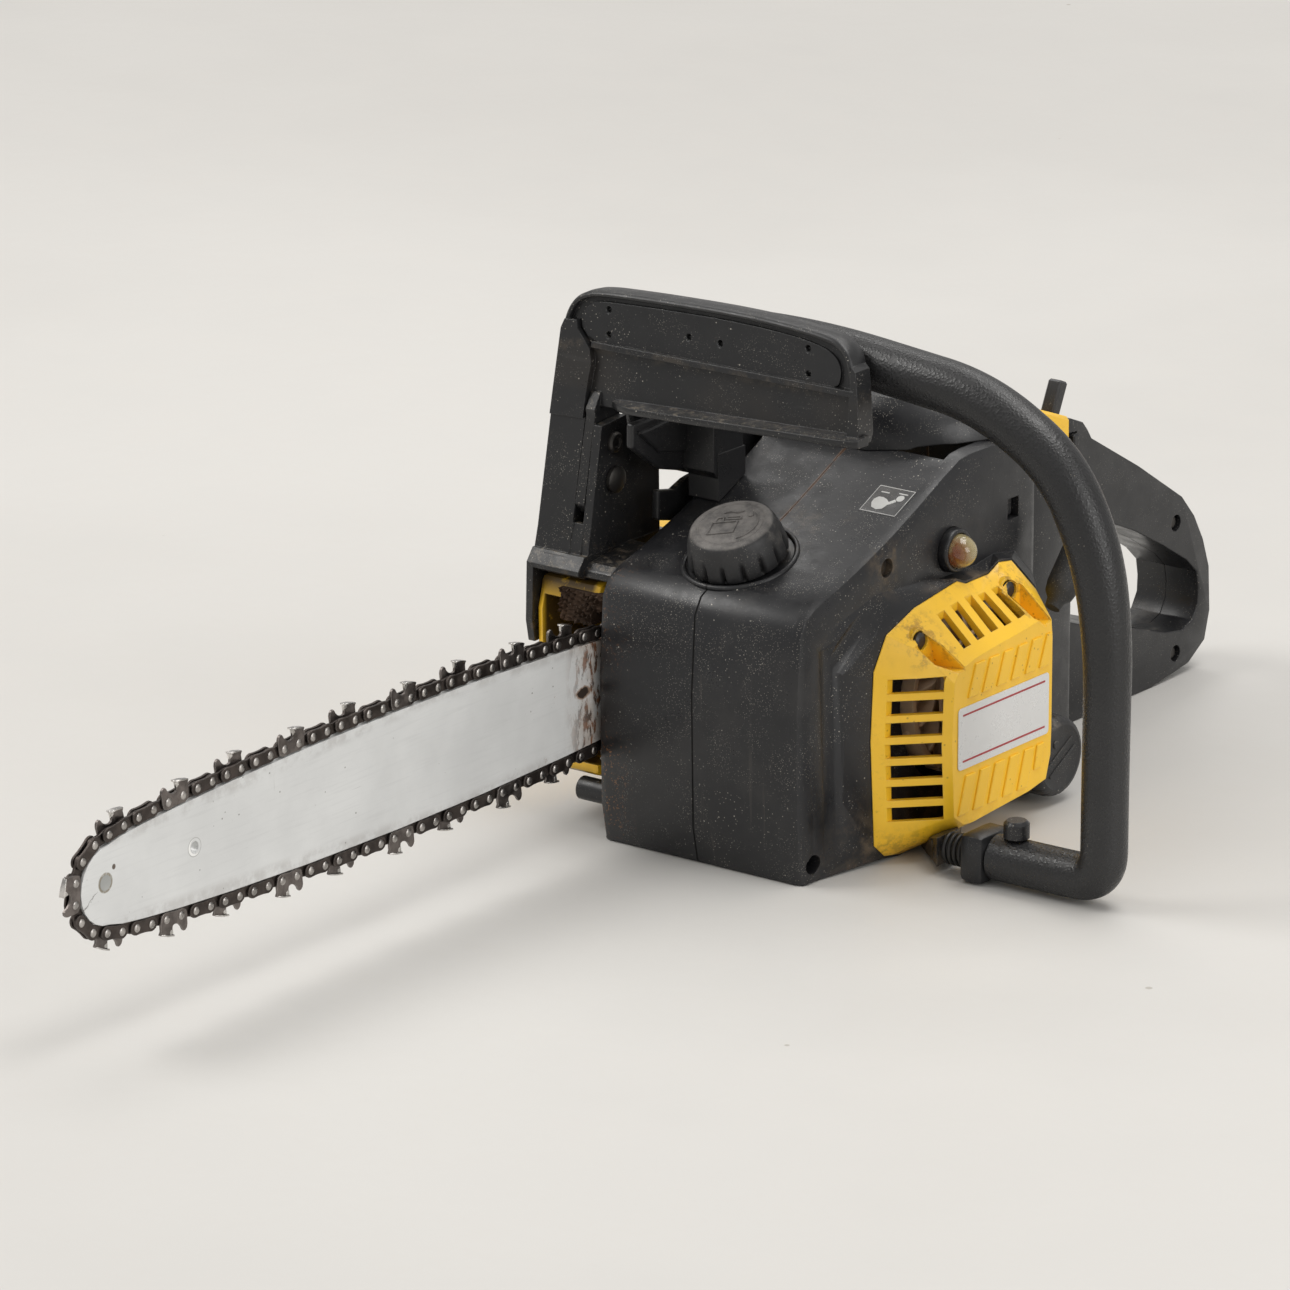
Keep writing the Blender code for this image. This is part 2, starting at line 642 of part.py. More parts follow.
def guide_bar():
    rail = [(NOSE_Y + s, rivet_half(s, BAR_LENGTH)) for s in BAR_STATIONS]
    outline = half_turn(NOSE, NOSE_RADIUS - RAIL_DROP, math.pi / 2, 12)
    outline += [(y, CRANK_Z - half + RAIL_DROP) for y, half in rail]
    outline += [(BAR_TAIL - 4, CRANK_Z - 19), (BAR_TAIL, CRANK_Z - 15),
                (BAR_TAIL, CRANK_Z + 15), (BAR_TAIL - 4, CRANK_Z + 19)]
    outline += [(y, CRANK_Z + half - RAIL_DROP) for y, half in reversed(rail)]
    obj = piece("guide_bar", prism(outline, BAR_X - BAR_THICK / 2, BAR_X + BAR_THICK / 2),
                BAR_PAINT)
    nose_slot = [(4.2, -0.8), (4.2, 0.8), (19.5, 0.8), (19.5, -0.8)]
    cut(obj, lathe(nose_slot, (BAR_X, *NOSE), ALONG_X, 32, closed=True))
    stud_slot = [(y, CRANK_Z + z) for y, z in [(-92, 4.3), (-40, 4.3), (-40, -4.3), (-92, -4.3)]]
    cut(obj, prism(stud_slot, BAR_X - 5, BAR_X + 5))
    for z in (14, -14):
        cut(obj, bar_hole(-78, z, 2.6, 12))
    cut(obj, bar_hole(NOSE_Y + 55, 1.7, 2.6, 16))


def gear(teeth, root, tip, centre, x_low, x_high):
    tooth = ((-0.30, root), (-0.12, tip), (0.12, tip), (0.30, root))    # fraction, radius
    outline = []
    for k in range(teeth):
        for fraction, radius in tooth:
            angle = 2 * math.pi * (k + fraction) / teeth
            outline.append((centre[0] + radius * math.cos(angle),
                            centre[1] + radius * math.sin(angle)))
    return prism(outline, x_low, x_high)


def nose_sprocket():
    wheel = gear(NOSE_TEETH, 13.2, 17.1, NOSE, BAR_X - 0.5, BAR_X + 0.5)
    obj = piece("nose_sprocket", wheel, STEEL, (BAR_X, *NOSE))
    cut(obj, x_rod(BAR_X - 2, BAR_X + 2, NOSE, 4.6, 20))


def saw_chain():
    """A plain band of rectangular section round the rivet line."""
    line = rivet_line(BAR_LENGTH, 30)
    x_low, x_high = BAR_X - CHAIN_HALF_WIDTH, BAR_X + CHAIN_HALF_WIDTH
    mesh = bmesh.new()
    rings = []
    for i, (y, z) in enumerate(line):
        next_y, next_z = line[(i + 1) % len(line)]
        run_y = next_y - line[i - 1][0]
        run_z = next_z - line[i - 1][1]
        run = math.hypot(run_y, run_z)
        out_y, out_z = run_z / run, -run_y / run
        # turn the normal away from the middle of the loop
        outward = out_z * z if abs(z) > 5 else out_y * (y - NOSE_Y / 2)
        if outward < 0:
            out_y, out_z = -out_y, -out_z
        outer = (y + out_y * CHAIN_OUT, CRANK_Z + z + out_z * CHAIN_OUT)
        inner = (y - out_y * CHAIN_IN, CRANK_Z + z - out_z * CHAIN_IN)
        rings.append(corners(mesh, [(x_low, *outer), (x_high, *outer),
                                    (x_high, *inner), (x_low, *inner)]))
    for here, ahead in zip(rings, rings[1:] + rings[:1]):
        bridge(mesh, here, ahead)
    piece("saw_chain", faces_out(mesh), CHAIN_STEEL)


# ------------------------------------------------------ crank train and clutch
CRANK_CENTRE = (0, *CRANK)
SHAFT_RADIUS = 5.0
SHAFT_BORE = SHAFT_RADIUS + GAP
JOURNAL_RADIUS = 7.5
CHEEK_RADIUS = 26


def crank_half_right():
    profile = [(0, 0), (SHAFT_RADIUS, 0), (SHAFT_RADIUS, 65.5), (JOURNAL_RADIUS, 65.5),
               (JOURNAL_RADIUS, 76.5), (CHEEK_RADIUS, 76.5), (CHEEK_RADIUS, 85.5), (0, 85.5)]
    shape = lathe(profile, (-94.0, *CRANK), ALONG_X, 24)
    return piece("crank_half_right", shape, STEEL, CRANK_CENTRE)


def crank_half_left():
    profile = [(0, 0), (CHEEK_RADIUS, 0), (CHEEK_RADIUS, 9), (JOURNAL_RADIUS, 9),
               (JOURNAL_RADIUS, 20), (SHAFT_RADIUS, 20), (SHAFT_RADIUS, 64), (0, 64)]
    shape = lathe(profile, (8.5, *CRANK), ALONG_X, 24)
    return piece("crank_half_left", shape, STEEL, CRANK_CENTRE)


def flywheel():
    profile = [(SHAFT_BORE, 52), (12, 52), (12, 55), (38.5, 55), (40, 57), (40, 68.5),
               (37, 68.5), (35, 61), (12, 61), (12, 71.5), (SHAFT_BORE, 71.5)]
    shape = lathe(profile, CRANK_CENTRE, ALONG_X, 36, closed=True)
    return piece("flywheel", shape, CREAM, CRANK_CENTRE, True)


def clutch_hub():
    profile = [(SHAFT_BORE, -83.5), (SHAFT_BORE, -70.5), (31, -70.5), (31, -83.5)]
    shape = lathe(profile, CRANK_CENTRE, ALONG_X, 24, closed=True)
    obj = piece("clutch_hub", shape, RUST, CRANK_CENTRE)
    cut(obj, box(-90, -65, -2, 2, CRANK_Z + 9, CRANK_Z + 40))
    return obj


def clutch_drum():
    """The drum with the chain's drive sprocket on its inner side."""
    bore = 5.6
    profile = [(bore, -69), (bore, -66.6), (11.5, -66.6), (11.5, -65.2), (35.0, -65.2),
               (36.0, -66.2), (36.0, -84.5), (34.0, -84.5), (34.0, -69)]
    shape = lathe(profile, CRANK_CENTRE, ALONG_X, 32, closed=True)
    obj = piece("clutch_drum", shape, STEEL, CRANK_CENTRE, True)
    add(obj, gear(SPROCKET_TEETH, 10.6, 14.4, CRANK, -66.0, -57.0))
    cut(obj, x_rod(-70, -50, CRANK, bore, 20))
    return obj


def brake_band():
    profile = [(36.6, -83), (37.8, -83), (37.8, -69), (36.6, -69)]
    obj = piece("brake_band", lathe(profile, CRANK_CENTRE, ALONG_X, 36, closed=True), SPRING)
    cut(obj, box(-90, -60, -44, -30, CRANK_Z - 5, CRANK_Z + 5))


# --------------------------------------------------------- cylinder and piston
STROKE = 28.0
WRIST_PIN = (0, 131.5)         # piston at the top
WRIST_PIN_RADIUS = 4.0
CRANK_PIN = (0, CRANK_Z + STROKE / 2)
PISTON_CENTRE = (0, *WRIST_PIN)
PLUG = Vector((0, 20.0, 150.5))
PLUG_DIRECTION = Vector((0, 0.5, 0.866))
FIN_COUNT = 7
FIN_PITCH = 7.4


def plug_lathe(profile, segments, closed=False):
    return lathe(profile, PLUG, PLUG_DIRECTION, segments, closed)


def cylinder():
    obj = piece("cylinder", box(-26, 26, -26, 26, 98.5, 104), ALUMINIUM)
    for k in range(FIN_COUNT):
        z = 107.0 + FIN_PITCH * k
        front = -29 if k < FIN_COUNT - 1 else -13
        add(obj, box(-31, 31, front, 29, z, z + 2.6))
    add(obj, rod((0, 0, 100), (0, 0, 151), 24, 28), rod((0, 5, 149), (0, 5, 155.5), 15, 20))
    add(obj, plug_lathe([(8.6, -12), (8.6, 3.2)], 18))
    cut(obj, rod((0, 0, 90), (0, 0, 147.5), 19.3, 28), plug_lathe([(5.2, -14), (5.2, 10)], 16))
    cut(obj, plug_lathe([(9.3, 3.3), (9.3, 30)], 20))
    # ports to the muffler and from the intake
    cut(obj, x_rod(-35, -12, (12, 134), 5, 14), rod((0, 15, 128), (0, 36, 128), 6, 14))


def piston():
    obj = piece("piston", rod((0, 0, 125), (0, 0, 144), 18.9, 28), ALUMINIUM, PISTON_CENTRE)
    cut(obj, rod((0, 0, 110), (0, 0, 140), 15.7, 24))
    return obj


def wrist_pin():
    shape = x_rod(-14.6, 14.6, WRIST_PIN, WRIST_PIN_RADIUS, 16)
    return piece("wrist_pin", shape, STEEL, PISTON_CENTRE)


def connecting_rod():
    obj = piece("connecting_rod", x_rod(-4, 4, WRIST_PIN, 7.2, 20), STEEL, PISTON_CENTRE)
    add(obj, box(-3, 3, -4.5, 4.5, 90, 126), x_rod(-4, 4, CRANK_PIN, 10, 20))
    cut(obj, x_rod(-9, 9, WRIST_PIN, WRIST_PIN_RADIUS + GAP, 16))
    return obj


def spark_plug():
    plug = [(0, -3.5), (4.8, -3.5), (4.8, 3.5), (8.5, 3.5), (8.5, 9), (4.5, 10), (4.5, 19),
            (0, 19)]
    boot = [(4.9, 10.6), (7.6, 10.6), (7.6, 24), (0, 24), (0, 19.6), (4.9, 19.6)]
    piece("spark_plug", plug_lathe(plug, 18), WHITE, smooth=True)
    piece("plug_boot", plug_lathe(boot, 18, closed=True), SOFT, smooth=True)


# -------------------------------------------------------------- engine fittings
INTAKE_Z = 128


def muffler():
    obj = bevelled("muffler", box(-64, -33, -22, 26, 120, 145), RUST, 4, 2)
    cut(obj, x_rod(-90, -50, (12, 134), 5, 14))


def ignition_coil():
    bevelled("ignition_coil", box(36, 49.5, -18, 18, 116.4, 128), SPRING, 1.2, 1)


def oil_pump():
    bevelled("oil_pump", box(-48, -36, 30, 58, 30, 46), ALUMINIUM, 2, 1)


def intake_manifold():
    tube = [(11, 0), (11, 53), (7, 53), (7, 0)]
    shape = lathe(tube, (0, 30, INTAKE_Z), (0, 1, 0), 20, closed=True)
    piece("intake_manifold", shape, SOFT)


def carburettor():
    obj = bevelled("carburettor", box(-19, 19, 83.3, 99, 110, 146), ALUMINIUM, 2, 1)
    cut(obj, rod((0, 80, INTAKE_Z), (0, 102, INTAKE_Z), 7, 18))


def air_filter():
    bevelled("air_filter", box(-32, 32, 99.5, 106, 100, 144), FOAM, 2, 1)


# ------------------------------------------------------------------ top cover
TOP_PLAN = [  # x, y
    (-46, 3.5), (10, 3.5), (30, 9), (46, 24), (57, 48), (57, 72), (40, 92), (24, 106),
    (-24, 106), (-40, 92), (-46, 72),
]
# y, z of the space below the cover, clear of the shell's top
BELOW_TOP = [
    (-10, 150), (-10, 163.8), (0, 167.4 + GAP), (12, 172.5 + GAP), (20, 173.4 + GAP),
    (120, 173.4 + GAP), (120, 150),
]
# inset, height at the front, height behind
TOP_OUTSIDE = [(0, 167, 167), (0, 174, 174), (3, 186, 175.2), (9, 193.0, 176), (16, 194.5, 176.4)]
TOP_INSIDE = [(3.0, 160, 160), (3.0, 170, 170), (5.4, 183.6, 172.8), (11, 190.2, 173.4)]


def top_level(inset, front_z, rear_z):
    """One level of the top cover, drawn in towards its middle."""
    ring = []
    for x, y in TOP_PLAN:
        from_middle = y - 55.0
        distance = math.hypot(x, from_middle)
        t = (y - 3.5) / 102.5
        ring.append((x - x / distance * inset, y - from_middle / distance * inset,
                     front_z + (rear_z - front_z) * t))
    return ring


def top_cover():
    obj = piece("top_cover", loft([top_level(*level) for level in TOP_OUTSIDE]), BLACK)
    cut(obj, loft([top_level(*level) for level in TOP_INSIDE]))
    cut(obj, prism(BELOW_TOP, -80, 80))


def filter_cover():
    side = [(107, 170.2), (107, 158.6), (116.2, 151.8), (122.3, 139.8), (122.3, 119.5),
            (148.4, 119.5), (148.4, 154.8)]
    obj = bevelled("filter_cover", prism(side, -24, 24), YELLOW, 1.5, 1)
    cut(obj, box(5.5, 14.5, 139.5, 156, 130, 170))                  # slot for the choke lever


# --------------------------------------------------------------- rear handle
GRIP_HALF = 18.0               # half width of the rear handle
REAR_HANDLE_SIDE = [  # y, z
    (122, 118.9), (148.9, 118.9), (148.9, 151.5), (158, 151), (168, 147), (172, 142.5),
    (175.5, 137.5), (216, 114.5), (254, 90.5), (265, 78.5), (273, 65), (278.6, 50), (280, 27),
    (276, 13), (262, 4.5), (230, 0), (140, 0), (122, 8),
]
HAND_OPENING = [  # y, z
    (131, 66), (131, 100), (138, 110), (160, 107), (178, 98), (214, 82.5), (238, 69.8),
    (259, 57.5), (268, 49.5), (269.6, 41), (269.2, 33), (264.5, 25.5), (256, 23), (240, 25.5),
    (206, 37), (172, 46), (150, 54), (138, 59),
]
TRIGGER_POCKET = [  # y, z
    (135, 122), (150, 122), (172, 113), (196, 98), (196, 84), (178, 90), (160, 100), (140, 103),
    (135, 108),
]
LOCKOUT_POCKET = [(175.5, 170), (175.5, 110), (214, 100), (214, 130)]   # y, z
HANDLE_SCREWS = {"upper": (248.6, 78.5), "lower": (250.1, 12.4)}


def rear_handle_half(name, left):
    obj = piece(name, prism(REAR_HANDLE_SIDE, -GRIP_HALF, GRIP_HALF), BLACK)
    cut(obj, prism(HAND_OPENING, -30, 30))
    bevel(obj, 5.0, 3)
    cut(obj, prism(TRIGGER_POCKET, -6.2, 6.2))
    cut(obj, prism(LOCKOUT_POCKET, -5.2, 5.2))
    cut(obj, box(5.4, 14.6, 137.4, 158, 128, 170))                  # slot for the choke lever
    side = 1 if left else -1
    for centre in HANDLE_SCREWS.values():
        cut(obj, x_rod(side * 13.5, side * 24, centre, 4.2, 12),
            x_rod(0, side * 24, centre, 1.9, 12))
    if left:
        cut(obj, box(15.2, 30, 151.6, 162.6, 137, 144))             # slot for the stop switch
    cut(obj, beyond_seam(left, 40, 100, 290, 200))


def throttle_trigger():
    side = [(142, 118), (151, 118.5), (158, 112), (171, 100), (176, 84), (173, 80), (166, 90),
            (155, 98), (143, 106)]
    bevelled("throttle_trigger", prism(side, -5.2, 5.2), BLACK, 1.2, 1, origin=(0, 147.0, 113.0))


def throttle_lockout():
    side = [(177.5, 120), (177.5, 139.8), (181, 140), (208, 121), (210.5, 116.6), (206, 111)]
    bevelled("throttle_lockout", prism(side, -4.6, 4.6), BLACK, 1.0, 1, origin=(0, 183.0, 127.0))


def choke_lever():
    side = [(145, 132.5), (150, 132.5), (152.5, 148), (161.5, 167), (155.2, 169.6), (146, 150)]
    bevelled("choke_lever", prism(side, 6.3, 13.7), BLACK, 1.0, 1, origin=(10, 147.5, 137.0))


def stop_switch():
    block = box(15.8, 20.4, 157.0, 161.8, 137.6, 143.4)
    bevelled("stop_switch", block, BLACK, 0.8, 1, origin=(18, 159.4, 140.5))


def handle_screws():
    profile = [(0, -12), (1.6, -12), (1.6, 0), (3.5, 0), (3.5, 1.6), (2.4, 2.4), (0, 2.4)]
    for tag, centre in HANDLE_SCREWS.items():
        piece("handle_screw_" + tag, lathe(profile, (13.8, *centre), ALONG_X, 12), STEEL)


# -------------------------------------------------------------- clutch cover
CLUTCH_SIDE = [  # y, z
    (-99, 26), (-100, 100), (-96, 115.5), (-60, 120), (24, 121), (50, 107), (62, 84), (62, 52),
    (44, 26), (-20, 19), (-80, 19),
]
CLUTCH_INSIDE = [  # y, z
    (-105, 33), (-105, 104), (-91, 110), (-60, 115), (22, 116), (46, 103), (57, 82), (57, 54),
    (41, 31), (-20, 24), (-80, 24),
]
CLUTCH_PANEL = [  # y, z of the raised panel on the outer face
    (-26, 26), (-26, 92), (22, 112), (46, 98), (55, 78), (55, 56), (40, 32),
]
CLUTCH_SLOTS = [(84, 98), (84, 98), (40, 60), (40, 60)]     # z range of each, front to rear


def clutch_cover():
    obj = bevelled("clutch_cover", prism(CLUTCH_SIDE, -99.4, -64.6), YELLOW, 3, 2, angle=50)
    add(obj, prism(CLUTCH_PANEL, -103.2, -98))
    cut(obj, prism(CLUTCH_INSIDE, -95.6, -60))
    cut(obj, x_rod(-101, -90, CRANK, 8, 20))
    for y in STUDS:
        centre = (y, CRANK_Z)
        add(obj, x_rod(-97.5, -64.6, centre, 9.0, 20))
        cut(obj, x_rod(-120, -60, centre, STUD_RADIUS + GAP, 16),
            x_rod(-120, -93, centre, 7.6, 20))
    for k, z_range in enumerate(CLUTCH_SLOTS):
        y = -18 + 15 * k
        cut(obj, box(-110, -90, y, y + 7, *z_range))


def bar_stud(tag, y):
    """A stud and its hexagon nut."""
    centre = (y, CRANK_Z)
    piece("bar_stud_" + tag, x_rod(-96.0, -50, centre, STUD_RADIUS, 14), STEEL)
    hexagon = [(y + 6.2 * math.cos(math.pi * k / 3), CRANK_Z + 6.2 * math.sin(math.pi * k / 3))
               for k in range(6)]
    nut = piece("bar_nut_" + tag, prism(hexagon, -98.4, -93.2), STEEL)
    cut(nut, x_rod(-105, -90, centre, STUD_RADIUS + GAP, 14))


def tension_screw():
    piece("tension_screw", rod((-70, -98, 92), (-70, -72, 92), 2.5, 12), STEEL)


# -------------------------------------------------------------- brake housing
GUARD_PIVOT = (-74.7, 159.4)
GUARD_BOLT_RADIUS = 4.0
BRAKE_SKIRT = [  # y, z
    (-100.5, 84), (-102.4, 94), (-101.5, 121), (-97, 127), (-40, 127), (-20, 121.3),
    (-34, 100), (-60, 86),
]
BRAKE_SHOULDER = [  # y, z
    (-101.5, 119.5), (-101.5, 121.5), (-97, 127.5), (-40, 127.5), (-20, 121.3),
    (-60, 120.4), (-95, 116.4),
]
BRAKE_TOWER = [  # y front, y rear, z of each level
    (-97, -42, 122), (-93, -44, 137), (-82.8, -64, 188.0),
]
BRAKE_INNER_PLATE = [  # y, z
    (-95.5, 121), (-83.6, 186), (-65.5, 187.5), (-63.5, 178), (-41, 160), (-40.5, 121),
]
BRAKE_FRONT_WEB = [(-96.6, 121), (-92.6, 137), (-91.4, 141), (-88.6, 141), (-88, 121)]  # y, z


def guard_bolt_hole():
    return x_rod(-90, -70, GUARD_PIVOT, GUARD_BOLT_RADIUS + GAP, 16)


def brake_housing():
    """Skirt over the clutch cover's front, shoulder, and the tower with an inner plate.

    The guard's leg swings in the slot between tower and plate.
    """
    tower = [
        [(-103.4, front, z), (-84, front, z), (-84, rear, z), (-103.4, rear, z)]
        for front, rear, z in BRAKE_TOWER
    ]
    obj = piece("brake_housing", prism(BRAKE_SKIRT, -103.4, -99.7), BLACK)
    add(obj, prism(BRAKE_SHOULDER, -103.4, -73.6))
    add(obj, loft(tower))
    add(obj, prism(BRAKE_INNER_PLATE, -78.2, -73.8))
    add(obj, prism(BRAKE_FRONT_WEB, -84.6, -77.6))
    bevel(obj, 0.8, 1, 60)
    cut(obj, guard_bolt_hole())


def guard_bolt():
    profile = [(0, 0), (GUARD_BOLT_RADIUS, 0), (GUARD_BOLT_RADIUS, 15.6), (6.2, 15.6),
               (6.2, 17.4), (4.8, 18.2), (0, 18.2)]
    piece("guard_bolt", lathe(profile, (-89.0, *GUARD_PIVOT), ALONG_X, 16), STEEL)


# ---------------------------------------------------------------- hand guard
GUARD_RIM = [  # x, z over the top of the guard
    (-103.6, 222), (-102.6, 230), (-99.5, 236.5), (-94, 241.5), (-83.5, 245), (-49, 246.8),
    (-15, 247.2), (24, 246.0), (38, 243.6), (48, 239.6), (55.5, 233.5), (60.0, 224),
]
GUARD_FOOT = [(63.6, 199.5), (-74, 192), (-103.6, 191)]     # x, z
GUARD_RIBS = [  # outline (x, z), thickness, setback
    ([(-90, 219.8), (-90, 222.8), (60.6, 222.8), (60.6, 219.8)], 6.4, 0.6),
    ([(-72, 193.4), (-72, 197.4), (64.5, 203.4), (64.5, 199.4)], 9.0, -2.6),
    ([(57.6, 236), (60.4, 199.2), (65.6, 199.2), (62.8, 232), (60.6, 237)], 10.0, -1.0),
    ([(-103.8, 190.8), (-103.8, 226), (-87, 226), (-80, 190.8)], 16.0, -0.2),
]
GUARD_HOLES = [  # x, z
    (-76.8, 238.8), (-76.8, 228.3), (-31.5, 232.5), (-13.7, 232.6), (34.9, 239.1), (35.0, 228.4),
]


def slab(outline, thick, setback):
    """A plate with outline (x, z) that leans back as it rises."""
    front = [(x, -82.3 + (z - 190.0) * 0.2 + setback, z) for x, z in outline]
    back = [(x, y + thick, z) for x, y, z in front]
    return loft([front, back])


def guard_leg():
    """The leg down to the pivot, with a round eye at its foot."""
    outline = [(-82.6, 192.5), (-82.2, 190), (-90.6, 150)]
    for k in range(7):
        angle = math.radians(212 + 17 * k)
        outline.append((GUARD_PIVOT[0] + 18.5 * math.cos(angle),
                        GUARD_PIVOT[1] + 18.5 * math.sin(angle)))
    outline += [(-57.5, 166), (-62.5, 178), (-65, 192.5)]
    return prism(outline, -83.6, -78.6)


def hand_guard():
    obj = piece("hand_guard", slab(GUARD_RIM + GUARD_FOOT, 4.6, 2.4), BLACK, (0, *GUARD_PIVOT))
    rim_inside = [(x * 0.965 + (0.4 if x > 0 else -0.4), z - 3.4) for x, z in GUARD_RIM]
    add(obj, slab(GUARD_RIM + rim_inside[::-1], 8.6, 0.0))
    for outline, thick, setback in GUARD_RIBS:
        add(obj, slab(outline, thick, setback))
    add(obj, guard_leg())
    for x, z in GUARD_HOLES:
        cut(obj, rod((x, -90, z), (x, -60, z), 1.5, 8))
    cut(obj, guard_bolt_hole())


# -------------------------------------------------------------- chain catcher
def chain_catcher():
    piece("chain_catcher", x_rod(-76.0, -48.0, CATCHER, CATCHER_RADIUS, 20), BLACK, smooth=True)


# ------------------------------------------------------------------- assembly
def build():
    """Build every piece; the order sets the numbers of the helpers."""
    housing_half("housing_right", left=False)
    housing_left = housing_half("housing_left", left=True)
    rear_housing()
    fuel_cap()
    oil_cap()
    primer()

    starter_cover(housing_left)
    pulley_members = (starter_pulley(), starter_rope())
    recoil_spring()
    starter_grip()

    front_handle()
    left_mount()
    right_mount()

    guide_bar()
    nose_sprocket()
    saw_chain()

    crank_members = (crank_half_right(), crank_half_left(), flywheel(), clutch_hub())
    clutch_members = (clutch_drum(),)
    brake_band()
    cylinder()
    piston_members = (piston(), wrist_pin(), connecting_rod())
    spark_plug()
    muffler()
    ignition_coil()
    oil_pump()
    intake_manifold()
    carburettor()
    air_filter()

    top_cover()
    filter_cover()
    rear_handle_half("rear_handle_right", left=False)
    rear_handle_half("rear_handle_left", left=True)
    throttle_trigger()
    throttle_lockout()
    choke_lever()
    stop_switch()
    handle_screws()

    clutch_cover()
    for tag, y in zip(("front", "rear"), STUDS):
        bar_stud(tag, y)
    tension_screw()
    brake_housing()
    guard_bolt()
    hand_guard()
    chain_catcher()

    joint_axis("crank_axis", CRANK_CENTRE, crank_members)
    joint_axis("clutch_axis", (BAR_X, *CRANK), clutch_members)
    joint_axis("piston_axis", PISTON_CENTRE, piston_members)
    joint_axis("pulley_axis", (76, *CRANK), pulley_members)


build()
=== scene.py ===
"""A chainsaw standing on a studio floor: CAD parts refinished, some rebuilt in finer detail.

The bar points forward along -Y and +Z is up.  The bar and clutch are on the -X side, the
starter on the +X side.  The crank runs along X through y = 0, z = CRANK_Z.
Shapes are in millimetres; shader coordinates, lights and camera are in metres.
"""
import bisect
import math
from functools import reduce
import bmesh
import bpy
from mathutils import Matrix, Vector


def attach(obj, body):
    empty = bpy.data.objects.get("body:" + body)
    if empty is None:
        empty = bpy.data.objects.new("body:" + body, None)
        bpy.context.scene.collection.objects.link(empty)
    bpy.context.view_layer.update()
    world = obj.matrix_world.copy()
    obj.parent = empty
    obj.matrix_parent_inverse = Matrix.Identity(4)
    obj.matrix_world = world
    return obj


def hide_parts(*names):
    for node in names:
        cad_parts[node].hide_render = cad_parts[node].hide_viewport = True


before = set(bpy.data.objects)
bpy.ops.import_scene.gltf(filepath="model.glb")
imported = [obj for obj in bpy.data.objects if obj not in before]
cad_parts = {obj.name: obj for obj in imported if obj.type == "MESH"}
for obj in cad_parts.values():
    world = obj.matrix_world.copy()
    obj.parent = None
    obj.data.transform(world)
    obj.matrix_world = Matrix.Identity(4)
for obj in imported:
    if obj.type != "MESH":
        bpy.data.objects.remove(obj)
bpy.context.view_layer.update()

MM = 0.001
CRANK_Z = 70.0

# bar and chain
PITCH = 9.525
CHAIN_LINKS = 106
CUTTERS = 26
BAR_X = -60.0
BAR_LENGTH = 441.918                      # from the sprocket's axis to the nose's
NOSE_Y = -BAR_LENGTH
NOSE_RADIUS = 7 * PITCH / math.pi         # of the rivets' path
SPROCKET_RADIUS = 6 * PITCH / math.pi
BELLY = 10.976                            # how far each run of the chain bows out

# sloping top of the body
TILT = math.radians(21.5)
ROOF_FRONT_Y, ROOF_FRONT_Z = -100.0, 128.0
ROOF_LENGTH, ROOF_SAG = 100.0, 3.0

# places on the body
CAP_X, CAP_Y = -1.0, -76.5
OIL_CAP_AT = (65.0, 58.0, 22.5)
PRIMER_Y, PRIMER_Z = 3.5, 131.0
HANDLE_Y = -49.0                          # of the front handle's long run and its spring
GUARD_BOLT = (-74.7, 159.4)               # (y, z)
COVER_SCREWS = ((-42.5, 102.0), (27.0, 109.0))   # (y, z) in the starter cover
HOUSING_JOINT = -0.0008                   # x where the halves meet, in metres


def roof(y):
    """Height of the body's sloping top."""
    along = (y - ROOF_FRONT_Y) / ROOF_LENGTH
    sag = ROOF_SAG * math.sin(math.pi * min(max(along, 0.0), 1.0))
    return ROOF_FRONT_Z + (y - ROOF_FRONT_Y) * math.tan(TILT) - sag


